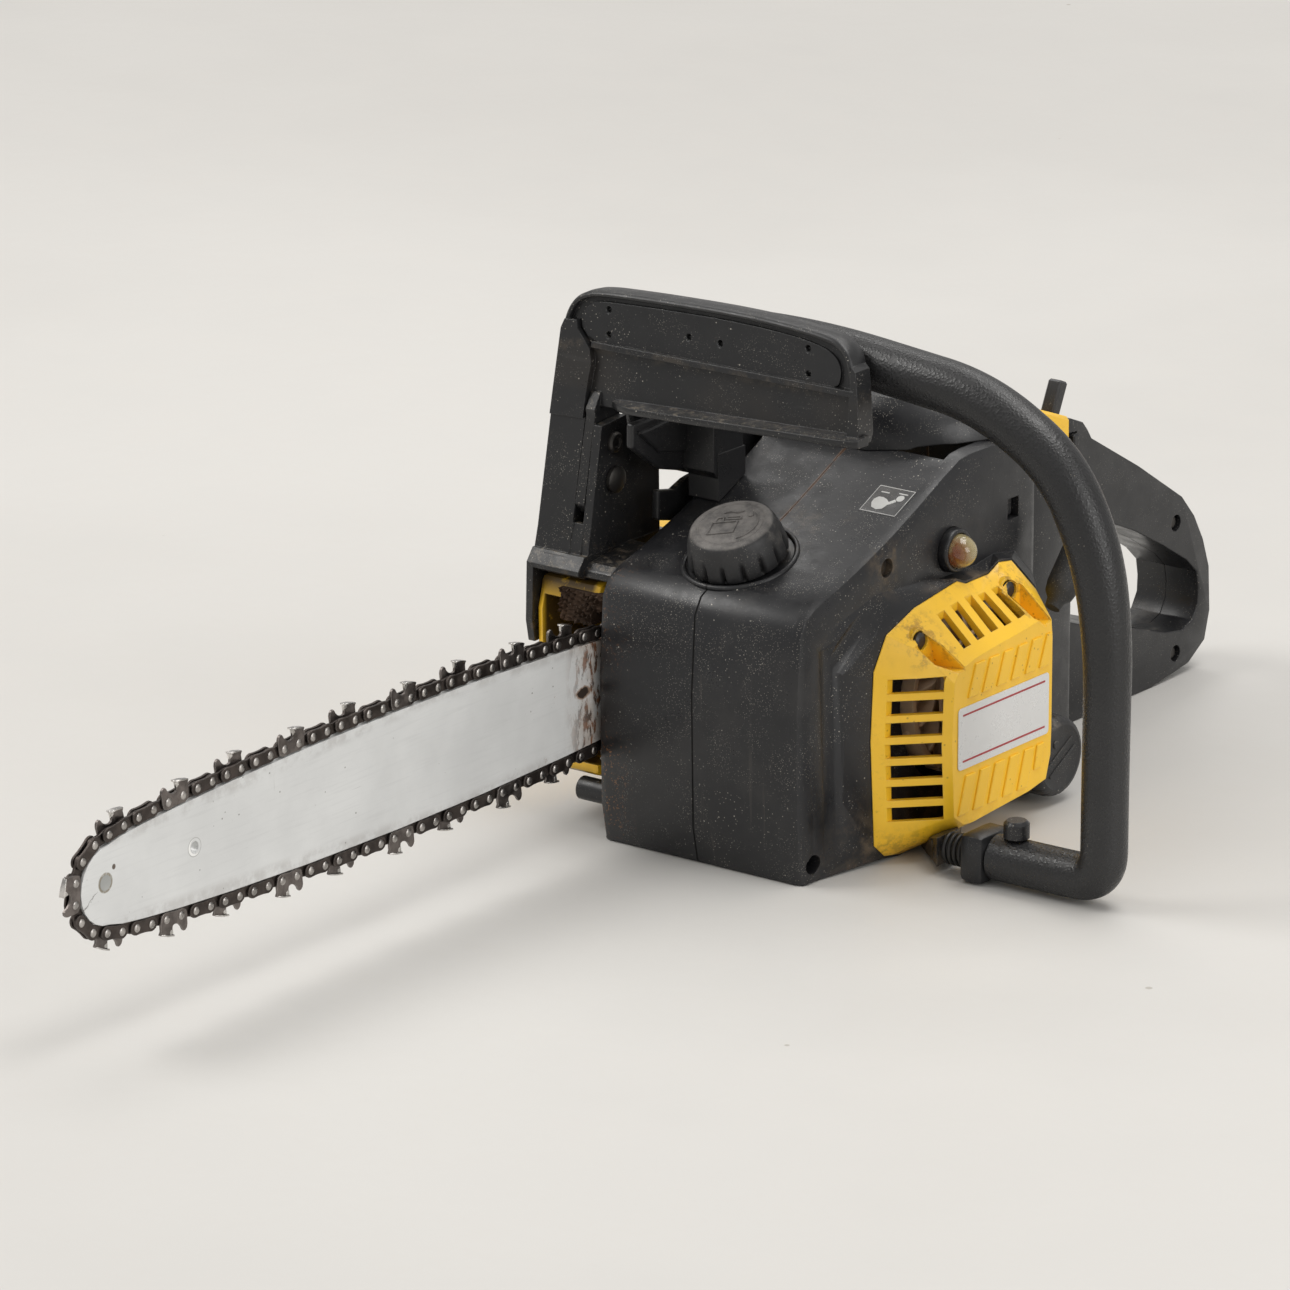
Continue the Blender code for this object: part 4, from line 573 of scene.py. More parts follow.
STICKER_WHITE = finish("sticker_white", (0.62, 0.62, 0.60), rough=0.38, edge=0.0, grain=0.03,
                       vary=0.2, dust=0.3, scratch=0.5)
MUD = finish("caked_sawdust", (0.048, 0.024, 0.011), rough=0.92, edge=0.0, grain=1.0,
             grain_scale=1100, vary=0.7, dust=0.05, speck=0.25)


# ============================================================ finish of the CAD
PART_FINISHES = {part: material for material, parts in (
    (BLACK, "housing_left housing_right top_cover"),
    (BLACK_CAP, "fuel_cap oil_cap"),
    (BLACK_SMOOTH, "rear_housing primer_base throttle_trigger throttle_lockout choke_lever "
                   "stop_switch handle_mount_left handle_mount_right handle_stud chain_catcher"),
    (BLACK_HANDLE, "rear_handle_left rear_handle_right"),
    (BLACK_GUARD, "brake_housing hand_guard"),
    (AMBER, "primer_bulb"),
    (GRIP, "front_handle"),
    (RUBBER, "starter_grip starter_rope intake_manifold plug_boot"),
    (YELLOW, "starter_cover filter_cover clutch_cover"),
    (BAR, "guide_bar"),
    (STEEL, "nose_sprocket bar_stud_front bar_stud_rear bar_nut_front bar_nut_rear tension_screw "
            "crank_half_left crank_half_right clutch_drum wrist_pin connecting_rod"),
    (DARK_STEEL, "guard_bolt starter_screw_front starter_screw_rear handle_screw_upper "
                 "handle_screw_lower"),
    (CHAIN_DARK, "saw_chain"),
    (ALUMINIUM, "cylinder piston oil_pump carburettor"),
    (RUST, "clutch_hub muffler"),
    (CERAMIC, "spark_plug"),
    (CREAM, "flywheel starter_pulley"),
    (FOAM, "air_filter"),
    (SPRING, "av_spring recoil_spring brake_band ignition_coil"),
) for part in parts.split()}


def smooth_group():
    """Geometry nodes: weld, drop the file's own normals, smooth except over sharp edges."""
    tree = bpy.data.node_groups.new("smooth_by_angle", "GeometryNodeTree")
    for direction in ("INPUT", "OUTPUT"):
        tree.interface.new_socket("Geometry", in_out=direction,
                                  socket_type="NodeSocketGeometry")
    add, link = tree.nodes.new, tree.links.new
    weld = add("GeometryNodeMergeByDistance")
    weld.inputs["Distance"].default_value = 2e-6
    drop = add("GeometryNodeRemoveAttribute")
    drop.inputs["Name"].default_value = "custom_normal"
    faces = add("GeometryNodeSetShadeSmooth")
    faces.domain = "FACE"
    faces.inputs["Shade Smooth"].default_value = True
    edges = add("GeometryNodeSetShadeSmooth")
    edges.domain = "EDGE"
    edges.inputs["Shade Smooth"].default_value = False
    angle = add("GeometryNodeInputMeshEdgeAngle")
    sharp = add("FunctionNodeCompare")
    sharp.data_type = "FLOAT"
    sharp.operation = "GREATER_THAN"
    sharp.inputs["B"].default_value = math.radians(32)
    link(add("NodeGroupInput").outputs[0], weld.inputs["Geometry"])
    link(weld.outputs[0], drop.inputs["Geometry"])
    link(drop.outputs[0], faces.inputs["Geometry"])
    link(faces.outputs[0], edges.inputs["Geometry"])
    link(angle.outputs["Unsigned Angle"], sharp.inputs["A"])
    link(sharp.outputs[0], edges.inputs["Selection"])
    link(edges.outputs[0], add("NodeGroupOutput").inputs[0])
    return tree


def refinish_parts():
    group = smooth_group()
    for part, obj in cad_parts.items():
        obj.data.materials.clear()
        obj.data.materials.append(PART_FINISHES[part])
        for polygon in obj.data.polygons:
            polygon.material_index = 0
        obj.modifiers.new("smooth_by_angle", "NODES").node_group = group


# ============================================================= geometry helpers
def new_object(name, verts, faces):
    mesh = bpy.data.meshes.new(name)
    mesh.from_pydata([(x * MM, y * MM, z * MM) for x, y, z in verts], [], faces)
    obj = bpy.data.objects.new(name, mesh)
    bpy.context.scene.collection.objects.link(obj)
    return obj


def mesh_piece(name, verts, faces, material, slot="black_plastic", body="powerhead",
               smooth=None, bevel=0.0, segments=2, replaces=None):
    """smooth is the sharp-edge angle in degrees; replaces names the CAD part it stands for."""
    obj = new_object(name, verts, faces)
    mesh = obj.data
    mesh.materials.append(material)
    mesh.validate()
    if smooth is not None:
        mesh.shade_smooth()
        mesh.set_sharp_from_angle(angle=math.radians(smooth))
    if bevel:
        modifier = obj.modifiers.new("soft", "BEVEL")
        modifier.width = bevel * MM
        modifier.segments = segments
        modifier.limit_method = "ANGLE"
        modifier.angle_limit = math.radians(35)
    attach(obj, body)
    if replaces:
        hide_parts(replaces)


def turns(count):
    return [2 * math.pi * k / count for k in range(count)]


def arc(u, v, radius, degrees, height=None):
    """Points round (u, v); height is the radius along v where it differs."""
    return [(u + radius * math.cos(math.radians(a)),
             v + (height or radius) * math.sin(math.radians(a))) for a in degrees]


def counterclockwise(outline):
    area = sum(a[0] * b[1] - b[0] * a[1] for a, b in zip(outline, outline[1:] + outline[:1]))
    return outline if area > 0 else outline[::-1]


def side_plane(origin=(0, 0, 0), turn=0.0):
    """(origin, u, v, normal) of a plane facing +X: u along +Y, v up, turned by radians."""
    cos, sin = math.cos(turn), math.sin(turn)
    return Vector(origin), Vector((0, cos, sin)), Vector((0, -sin, cos)), Vector((1, 0, 0))


SIDE = side_plane()


class Shape:
    """Collects closed shapes that become one piece; its methods return it."""

    def __init__(self):
        self.verts, self.faces = [], []

    def rings(self, rings, closed=False):
        """Skins rings of equal length, capping the ends unless the tube closes on itself."""
        base, n, last = len(self.verts), len(rings[0]), len(rings) - 1
        for ring in rings:
            self.verts += [tuple(p) for p in ring]
        pairs = [(i, i + 1) for i in range(last)]
        if closed:
            pairs.append((last, 0))
        for a, b in pairs:
            for k in range(n):
                j = (k + 1) % n
                self.faces.append((base + a * n + k, base + a * n + j,
                                   base + b * n + j, base + b * n + k))
        if not closed:
            self.faces.append(tuple(base + k for k in reversed(range(n))))
            self.faces.append(tuple(base + last * n + k for k in range(n)))
        return self

    def prism(self, outline, plane, low, high):
        """The outline (u, v) of the plane, from low to high along its normal."""
        origin, across, up, normal = plane
        points = counterclockwise(outline)
        return self.rings([[origin + across * u + up * v + normal * h for u, v in points]
                           for h in (low, high)])

    def lathe(self, profile, centre, axis, segments, flutes=(0, 1)):
        """profile: (radius, height[, flute depth]); flutes: their count and sharpness."""
        count, power = flutes
        centre, along = Vector(centre), Vector(axis).normalized()
        across = Vector((0, 1, 0)) if abs(along.x) > 0.9 else Vector((1, 0, 0))
        across = (across - along * across.dot(along)).normalized()
        side = along.cross(across)
        rings = []
        for radius, height, depth in ((*point, 0.0)[:3] for point in profile):
            ring = []
            for a in turns(segments):
                r = max(radius - depth * max(0.0, math.cos(a * count)) ** power, 0.004)
                ring.append(centre + along * height
                            + (across * math.cos(a) + side * math.sin(a)) * r)
            rings.append(ring)
        return self.rings(rings)

    def sweep(self, path, radius, sides, closed=False):
        """A tube along the path; radius is a number or a function of the point."""
        n, last = len(path), len(path) - 1
        rings, normal = [], None
        for i, p in enumerate(path):
            if closed:
                along = (path[(i + 1) % n] - path[i - 1]).normalized()
            else:
                along = (path[min(i + 1, last)] - path[max(i - 1, 0)]).normalized()
            normal = along.orthogonal() if normal is None else normal - along * normal.dot(along)
            normal.normalize()
            side = along.cross(normal)
            r = radius(p) if callable(radius) else radius
            rings.append([p + (normal * math.cos(a) + side * math.sin(a)) * r
                          for a in turns(sides)])
        return self.rings(rings, closed)

    def piece(self, name, material, **options):
        mesh_piece(name, self.verts, self.faces, material, **options)


def joined(base, steps):
    """Works base and each (operation, Shape) together by Booleans; gives vertices and faces."""
    made = []

    def temporary(shape):
        obj = new_object("temp", shape.verts, shape.faces)
        work = bmesh.new()
        work.from_mesh(obj.data)
        bmesh.ops.recalc_face_normals(work, faces=work.faces)
        work.to_mesh(obj.data)
        work.free()
        made.append(obj)
        return obj

    body = temporary(base)
    for operation, shape in steps:
        modifier = body.modifiers.new("boolean", "BOOLEAN")
        modifier.operation = operation
        modifier.solver = "EXACT"
        modifier.object = temporary(shape)
    bpy.context.view_layer.update()
    depsgraph = bpy.context.evaluated_depsgraph_get()
    result = bpy.data.meshes.new_from_object(body.evaluated_get(depsgraph))
    verts = [tuple(c / MM for c in v.co) for v in result.vertices]
    faces = [tuple(f.vertices) for f in result.polygons]
    for obj in made:
        mesh = obj.data
        bpy.data.objects.remove(obj)
        bpy.data.meshes.remove(mesh)
    bpy.data.meshes.remove(result)
    return verts, faces


def rounded_path(points, radius, steps):
    points = [Vector(p) for p in points]
    path = [points[0]]
    for a, b, c in zip(points, points[1:], points[2:]):
        r = min(radius, (a - b).length * 0.48, (c - b).length * 0.48)
        p, q = b + (a - b).normalized() * r, b + (c - b).normalized() * r
        for k in range(steps + 1):
            t = k / steps
            path.append(p * (1 - t) ** 2 + b * 2 * t * (1 - t) + q * t * t)
    return path + [points[-1]]


def dense(path, longest):
    """The path with no step much longer than `longest`."""
    out = [path[0]]
    for a, b in zip(path, path[1:]):
        n = max(1, int((b - a).length / longest))
        out += [a + (b - a) * ((i + 1) / n) for i in range(n)]
    return out


def rounded_rect(u0, u1, v0, v1, radius, steps=5):
    out = []
    for u, v, start in ((u1 - radius, v1 - radius, 0), (u0 + radius, v1 - radius, 90),
                        (u0 + radius, v0 + radius, 180), (u1 - radius, v0 + radius, 270)):
        out += arc(u, v, radius, [start + 90 * k / steps for k in range(steps + 1)])
    return out


def curve(points, steps):
    """A Catmull-Rom line through points (x, z)."""
    padded = [points[0], *points, points[-1]]
    out = []
    for a, b, c, d in zip(padded, padded[1:], padded[2:], padded[3:]):
        for k in range(steps):
            t = k / steps
            out.append(tuple(0.5 * (2 * b[i] + (c[i] - a[i]) * t
                                    + (2 * a[i] - 5 * b[i] + 4 * c[i] - d[i]) * t * t
                                    + (3 * b[i] - a[i] - 3 * c[i] + d[i]) * t ** 3)
                             for i in (0, 1)))
    return out + [points[-1]]


def stroke(points, width, closed=False, overlap=0.4):
    """A quad for each leg of a line, longer at each end by overlap times the width."""
    quads = []
    for (a, b), (c, d) in zip(points, points[1:] + (points[:1] if closed else [])):
        length = math.hypot(c - a, d - b)
        du, dv = (c - a) / length * width, (d - b) / length * width
        eu, ev, nu, nv = du * overlap, dv * overlap, -dv / 2, du / 2
        quads.append([(a - eu + nu, b - ev + nv), (a - eu - nu, b - ev - nv),
                      (c + eu - nu, d + ev - nv), (c + eu + nu, d + ev + nv)])
    return quads


# ==================================================================== the chain
HALF_PITCH = PITCH / 2
# outlines (u, v): u along the travel from halfway between two rivets, v outwards
STRAP = (arc(HALF_PITCH, -0.05, 3.7, range(-90, 91, 22), height=3.25)
         + [(1.6, 2.85), (-1.6, 2.85)]
         + arc(-HALF_PITCH, -0.05, 3.7, range(90, 271, 22), height=3.25)
         + [(-1.2, -3.0), (1.2, -3.0)])
CUTTER = (
    [(HALF_PITCH + u, v) for u, v in (   # leading end with the raker, and the gullet
        (1.0, -3.3), (3.2, -2.1), (3.7, 0.0), (3.9, 2.2), (4.2, 4.4), (3.9, 5.9), (3.0, 6.9),
        (1.9, 7.2), (0.9, 6.4), (0.1, 5.0), (-1.2, 3.8), (-3.0, 3.0))]
    + [(0.6, 2.9), (-0.6, 3.4), (-0.9, 5.6), (-0.2, 7.9), (-3.5, 7.5), (-8.2, 6.5),
       (-8.9, 6.2), (-8.2, 4.6), (-8.5, 2.4), (-HALF_PITCH - 3.7, 0.4),
       (-HALF_PITCH - 3.2, -2.1), (-HALF_PITCH - 1.0, -3.3), (-0.6, -3.0), (0.6, -3.0)])
# top plate stations: u, v, outer edge, inner edge, thickness; edges are mirrored by side
TOP_PLATE = ((-0.1, 8.1, 2.7, -0.45, 0.8), (-3.8, 7.7, 2.592, -0.18, 0.8),
             (-8.2, 6.6, 2.295, 0.27, 0.7))
WORKING_CORNER = [(-0.75, 4.6), (-0.1, 8.0), (-2.4, 7.6), (-2.6, 5.6)]
RIVET = [(1.85, 0), (1.85, 0.25), (1.5, 0.55), (0.8, 0.66), (0, 0.7)]
STRAP_INNER, STRAP_OUTER = 0.85, 2.0      # from the chain's middle plane


def rivet_half(distance):
    """Half the height of the rivets' path at a distance back from the nose's axis."""
    t = distance / BAR_LENGTH
    bow = BELLY * math.sin(math.pi * t * 1.02) ** 0.62 if t < 0.98 else 0.0
    return NOSE_RADIUS + (SPROCKET_RADIUS - NOSE_RADIUS) * t + bow


def loop_points(count=240, turn_steps=32):
    """The rivets' path (y, z from the crank): top run, nose, lower run, sprocket."""
    runs = [BAR_LENGTH * (1 - math.cos(math.pi * k / count)) / 2 for k in range(1, count)]
    half_turn = [90 + 180 * k / turn_steps for k in range(turn_steps + 1)]
    return ([(NOSE_Y + s, rivet_half(s)) for s in reversed(runs)]
            + arc(NOSE_Y, 0, NOSE_RADIUS, half_turn)
            + [(NOSE_Y + s, -rivet_half(s)) for s in runs]
            + arc(0, 0, SPROCKET_RADIUS, [a - 180 for a in half_turn]))


def rivet_places():
    loop = loop_points()
    lengths = [0.0]
    for p, q in zip(loop, loop[1:] + loop[:1]):
        lengths.append(lengths[-1] + math.dist(p, q))
    places = []
    for k in range(CHAIN_LINKS):
        distance = lengths[-1] / CHAIN_LINKS * (k + 0.35)
        i = bisect.bisect_right(lengths, distance) - 1
        f = (distance - lengths[i]) / (lengths[i + 1] - lengths[i])
        p, q = loop[i], loop[(i + 1) % len(loop)]
        places.append((p[0] + (q[0] - p[0]) * f, p[1] + (q[1] - p[1]) * f))
    return places


def link_plane(start, end):
    """Plane of a link: origin halfway between its rivets, u along the travel, v outwards."""
    (y0, z0), (y1, z1) = start, end
    along = Vector((0, y1 - y0, z1 - z0)).normalized()
    out = Vector((0, along.z, -along.y))
    middle = Vector((0, (y0 + y1) / 2, (z0 + z1) / 2))
    inward = out.dot(middle - Vector((0, NOSE_Y / 2, 0))) < 0
    if inward or (abs(middle.z) > 8 and out.z * middle.z < 0):
        out = -out
    return middle + Vector((BAR_X, 0, CRANK_Z)), along, out, Vector((1, 0, 0))


def drive_outline(half):
    return (arc(half, 0, 2.6, range(-60, 91, 30)) + [(0, 2.0)]
            + arc(-half, 0, 2.6, range(90, 241, 30)) + [(-2.6, -3.2), (2.6, -3.2)])


def build_chain():
    straps, rivets, cutters, drives, plates = (Shape() for _ in range(5))
    # every second pair of straps carries a cutter, on alternating sides
    cutter_side = {4 * k + 1: (-1) ** k for k in range(CUTTERS)}
    places = rivet_places()
    for k, (start, end) in enumerate(zip(places, places[1:] + places[:1])):
        plane = link_plane(start, end)
        if k % 2 == 0:
            drives.prism(drive_outline(math.dist(start, end) / 2), plane, -0.65, 0.65)
            continue
        origin, along, out, across = plane
        for side in (-1, 1):
            low, high = sorted((side * STRAP_INNER, side * STRAP_OUTER))
            if cutter_side.get(k) != side:
                straps.prism(STRAP, plane, low, high)
                continue
            cutters.prism(CUTTER, plane, low, high)
            plates.rings([[origin + along * u + out * level + across * (side * edge)
                           for level, edge in ((v, outer), (v, inner),
                                               (v - thick, inner), (v - thick, outer))]
                          for u, v, outer, inner, thick in TOP_PLATE])
            plates.prism(WORKING_CORNER, plane, low - 0.08, high + 0.08)
    for y, z in places:
        for side in (-1, 1):
            rivets.lathe(RIVET, (BAR_X + side * 1.9, y, CRANK_Z + z), (side, 0, 0), 14)
    straps.piece("chain_straps", CHAIN_DARK, slot="chain_steel", smooth=50, bevel=0.22,
                 segments=1, replaces="saw_chain")
    for shape, name, material, bevel in (
            (drives, "chain_drive_links", CHAIN_DARK, 0.16),
            (rivets, "chain_rivets", CHAIN_RIVET, 0.0),
            (cutters, "chain_cutters", CHAIN_TOOTH, 0.16),
            (plates, "chain_top_plates", CHAIN_CUTTER, 0.16)):
        shape.piece(name, material, slot="chain_steel", smooth=40, bevel=bevel, segments=1)


def build_bar_nose_rivets():
    """A low round head on each face of the nose."""
    heads = Shape()
    for side in (-1, 1):
        heads.lathe([(3.4, -0.1), (3.4, 0.132), (2.924, 0.22), (0, 0.22)],
                    (BAR_X + side * 2.1, NOSE_Y - 2.1, CRANK_Z + 1.5), (side, 0, 0), 28)
    material = finish("bar_rivet", (0.46, 0.47, 0.46), rough=0.38, metal=0.5, edge=0.0,
                      grain=0.1, vary=0.2, dust=0.0)
    heads.piece("bar_nose_rivets", material, slot="bar_paint", smooth=40)


# ================================================================= front handle
def grip_radius(p):
    """Thinner low on the +X side."""
    t = min(max((p.z - 90.0) / 90.0, 0.0), 1.0) if p.x > 60 else 1.0
    return 10.6 + 1.5 * t * t * (3 - 2 * t)


def build_front_handle():
    path = rounded_path([
        (-82.5, -37, 170.0), (-82, -39, 224), (20, -47, 231), (112, HANDLE_Y, 222.5),
        (154, HANDLE_Y, 198.5), (173, HANDLE_Y, 162), (179.5, HANDLE_Y, 122),
        (179.0, HANDLE_Y, 60), (179.0, HANDLE_Y, 12.2), (150, HANDLE_Y, 11.8),
        (121.8, HANDLE_Y, 11.8)], radius=34, steps=18)
    Shape().sweep(dense(path, 6.0), grip_radius, 48).piece(
        "front_handle_grip", GRIP, slot="soft_grip_black", smooth=50, replaces="front_handle")
    # parting line along the inside of the loop
    sideways, down = Vector((-1, 0, 0)), Vector((0, 0, -1))
    line = []
    for p in dense(path, 5.0):
        if p.x > -60 and p.z > 26:
            inward = sideways.lerp(down, min(max((p.z - 190) / 30, 0), 1)).normalized()
            line.append(p + inward * (grip_radius(p) - 0.15))
    material = finish("parting_line", (0.055, 0.032, 0.02), rough=0.6, edge=0.0, grain=0.2,
                      vary=0.4, dust=0.0)
    Shape().sweep(line, 0.55, 8).piece("front_handle_parting_line", material,
                                       slot="soft_grip_black", smooth=50)


# ========================================================================= caps
CAP_AXIS = Vector((0, -math.sin(TILT), math.cos(TILT)))
CAP_SEAT = Vector((CAP_X, CAP_Y, roof(CAP_Y)))
CAP_ACROSS = Vector((1, 0, 0))
CAP_UP = CAP_AXIS.cross(CAP_ACROSS).normalized()     # up the slope
# (radius, height, flute depth)
CAP_PROFILE = [
    (12.5, -7), (12.5, 1.3), (21.4, 1.3), (22.7, 2.1, 2.9), (23.0, 3.4, 3.1), (22.9, 6.0, 2.7),
    (22.6, 8.0, 2.0), (22.3, 9.8, 1.0), (22.0, 11.2, 0.2), (21.2, 13.6), (20.6, 15.6),
    (19.9, 17.2), (19.0, 18.3), (17.9, 18.9), (16.6, 19.15), (15.9, 19.15), (15.5, 18.8),
    (15.0, 18.75), (14.6, 19.1), (10.0, 19.1), (0, 19.1)]
OIL_CAP_PROFILE = [
    (11.5, -10), (11.5, 0.4), (18.0, 0.4), (19.1, 1.6, 0.9), (19.1, 13.2, 0.9), (18.2, 16.0, 0.3),
    (17.0, 17.3), (15.4, 17.75), (14.6, 17.3), (6, 17.2), (0, 17.2)]


def build_fuel_cap():
    Shape().lathe(CAP_PROFILE, CAP_SEAT, CAP_AXIS, 264, flutes=(15, 4)).piece(
        "fuel_cap_moulding", BLACK_CAP, body="fuel_lid", smooth=40, replaces="fuel_cap")
    # raised pictogram: a plain pump outline and a drop
    turn = math.radians(18)
    cos, sin = math.cos(turn), math.sin(turn)
    plane = (CAP_SEAT, CAP_ACROSS * cos + CAP_UP * sin, CAP_UP * cos - CAP_ACROSS * sin, CAP_AXIS)
    low = 18.8
    picture = Shape()
    for points, width, high, closed in (
            ([(-9, -8), (-9, 0.5), (2.6, 2.0), (2.6, -6.5)], 0.8, 19.75, True),
            ([(-8.2, 0.4), (-7.4, 4.2), (-4.6, 4.6), (-4.2, 1.2)], 0.8, 19.7, False),
            ([(-3.2, 4.9), (3.4, 5.6), (3.8, 3.7), (-3.0, 3.2)], 0.7, 19.7, True),
            ([(-5.2, 8.2), (-2.4, 9.4), (0.6, 8.4), (3.4, 9.6)], 0.8, 19.7, False)):
        for quad in stroke(points, width, closed):
            picture.prism(quad, plane, low, high)
    picture.prism(arc(7.6, 6.4, 1.3, range(-220, 41, 26)) + [(7.6, 9.3)], plane, low, 19.7)
    for quad in stroke(arc(0, 0, 12.6, range(-62, 43, 8)), 0.55):
        picture.prism(quad, plane, low, 19.6)
    picture.piece("fuel_cap_pictogram", BLACK_CAP, body="fuel_lid", bevel=0.15, segments=1)


def build_filler_lip():
    """A ring lying on the roof around the fuel cap."""
    lip = []
    for a in turns(96):
        p = CAP_SEAT + (CAP_ACROSS * math.cos(a) + CAP_UP * math.sin(a)) * 26.2
        lip.append(Vector((p.x, p.y, roof(p.y) + 0.15)))
    Shape().sweep(lip, 1.35, 10, closed=True).piece("filler_lip", BLACK, smooth=60)


def build_oil_cap():
    Shape().lathe(OIL_CAP_PROFILE, OIL_CAP_AT, (1, 0, 0), 240, flutes=(24, 3)).piece(
        "oil_cap_moulding", BLACK_CAP, body="oil_lid", smooth=40, replaces="oil_cap")
    plane = side_plane(OIL_CAP_AT, turn=0.5)
    bridge = Shape()
    for v in (2.6, -2.6):
        for quad in stroke([(-11, v), (11, v)], 1.3):
            bridge.prism(quad, plane, 17.0, 17.9)
    bridge.prism(arc(0, 8.0, 2.0, range(0, 360, 30)), plane, 17.0, 17.8)
    bridge.piece("oil_cap_bridge", BLACK_CAP, body="oil_lid", bevel=0.2, segments=1)


# ============================================================ primer and spring
def build_primer():
    """Clear dome, its collar, and a dark seat seen through the dome."""
    dome = [(0, -0.1), (7.6, -0.1), (7.7, 1.5), (7.8, 5.0)]
    dome += arc(0, 7.2, 7.9, range(0, 91, 9), height=8.9)
    collar = [(8.4, 5.6), (10.1, 5.6), (10.3, 6.9), (10.3, 9.2), (9.9, 10.2), (8.9, 10.6),
              (8.25, 10.3), (8.15, 6.2)]
    seat = [(0, 0.2), (4.9, 0.2), (4.9, 3.4), (3.4, 4.4), (0, 4.6)]
    for name, profile, x, segments, material, options in (
            ("primer_dome", dome, 55, 48, AMBER,
             {"body": "primer", "replaces": "primer_bulb", "slot": "amber_bulb"}),
            ("primer_collar", collar, 52.2, 48, BLACK_SMOOTH, {}),
            ("primer_seat", seat, 55.5, 28, RUBBER, {})):
        Shape().lathe(profile, (x, PRIMER_Y, PRIMER_Z), (1, 0, 0), segments).piece(
            name, material, smooth=50, **options)


def build_av_spring():
    """Four coils along X under the front handle's lower end."""
    steps, coils, radius, rise = 28, 4, 6.6, 2.75
    wire = []
    for k in range(steps * coils + 1):
        a = 2 * math.pi * k / steps
        wire.append(Vector((95.8 + rise * k / steps, HANDLE_Y + radius * math.cos(a),
                            11 + radius * math.sin(a))))
    Shape().sweep(wire, 1.15, 12).piece("av_spring_wire", SPRING, slot="spring_steel", smooth=60,
                                        replaces="av_spring")


# =================================================================== hand guard
# outlines (x, z) in the guard's leaning plate
GUARD_EDGE = curve([
    (-102.6, 222.0), (-102.0, 231.0), (-98.8, 238.3), (-92.6, 242.8), (-83.0, 244.8),
    (-62.0, 245.9), (-39.3, 246.6), (-15.0, 247.0), (5.0, 246.8), (25.0, 245.9), (40.0, 244.5),
    (48.5, 242.6), (54.5, 238.6), (58.2, 232.0), (61.2, 222.0), (64.4, 203.0)], steps=6)
GUARD_PANEL = curve([
    (-93.2, 230.6), (-92.2, 234.6), (-89.0, 238.0), (-83.0, 240.0), (-60.0, 241.2),
    (-39.0, 241.9), (-15.0, 242.3), (5.0, 242.0), (25.0, 240.9), (38.0, 239.2), (45.0, 237.0),
    (49.6, 233.6), (51.6, 228.6), (51.2, 224.2), (49.0, 222.6)], steps=4)
GUARD_PANEL += [(-84.0, 222.4), (-89.0, 224.0), (-92.4, 227.2)]
GUARD_LEDGE = [(-85.0, 219.7), (-85.0, 222.3), (60.8, 222.6), (61.0, 220.0)]
GUARD_CHEEK = [(58.0, 233.0), (60.2, 200.0), (66.0, 199.4), (66.6, 204.0), (63.0, 221.0),
               (60.6, 231.0)]
GUARD_ARM = [(-103.7, 187.2), (-103.5, 200.0), (-103.0, 226.0), (-101.4, 230.2), (-94.6, 230.6),
             (-93.6, 227.0), (-88.6, 222.0), (-85.6, 219.0), (-83.9, 213.0), (-84.6, 200.0),
             (-85.0, 187.8)]
# section of the rim: inwards from the edge, back from the plate's front
GUARD_RIM = [(0.9, 12.2), (0.2, 11.2), (-0.25, 6.0), (-0.1, 1.6), (0.4, 0.4), (1.2, -0.1),
             (2.2, 0.25), (2.7, 1.2), (2.9, 4.0), (3.0, 11.0), (2.4, 12.3)]
# sill stations: x, how far its front is set back
GUARD_SILL = ((-72.0, 3.4), (-69.0, 1.2), (-65.0, -1.6), (-58.0, -3.8), (-20.0, -4.4),
              (20.0, -4.4), (56.0, -4.4), (66.0, -4.0), (68.4, -2.6))
# outline (y, z) of the leg, which ends in a round foot about the bolt
GUARD_LEG = ([(-82.6, 192.5), (-82.2, 190), (-90.6, 150)]
             + arc(*GUARD_BOLT, 18.5, [212 + 7.3 * k for k in range(15)])
             + [(-57.5, 166), (-62.5, 178), (-65, 192.5), (-68.0, 200.0), (-78.0, 200.0)])
GUARD_HOLES = ((-78.9, 237.2), (-77.4, 226.2), (-33.0, 231.9), (-15.4, 231.9), (32.4, 237.0),
               (34.1, 226.0))              # (x, z)


def lean(z):
    """y of the plate's front at a height."""
    return -82.3 + (z - 190.0) * 0.2


def slab(outline, thick, setback=0.0):
    """An outline (x, z) in the leaning plate, made thick towards the rear."""
    points = counterclockwise(outline)
    return Shape().rings([[(x, lean(z) + setback + t, z) for x, z in points]
                          for t in (0.0, thick)])


def rail(line, section):
    """The section carried along a line of the plate."""
    rings = []
    for i, (x, z) in enumerate(line):
        a, b = line[max(i - 1, 0)], line[min(i + 1, len(line) - 1)]
        tx, tz = b[0] - a[0], b[1] - a[1]
        length = math.hypot(tx, tz)
        nx, nz = tz / length, -tx / length
        rings.append([(x + nx * n, lean(z + nz * n) + back, z + nz * n) for n, back in section])
    return Shape().rings(rings)


def guard_sill():
    rings = []
    for x, front in GUARD_SILL:
        low = 193.8 + (x + 70) * 0.0405
        rings.append([(x, lean(low) + back, low + up) for back, up in (
            (front + 0.5, 0), (5.2, 0), (5.6, 4.6), (front + 1.4, 3.6), (front + 0.3, 3.2),
            (front, 2.2), (front, 0.8))])
    return Shape().rings(rings)


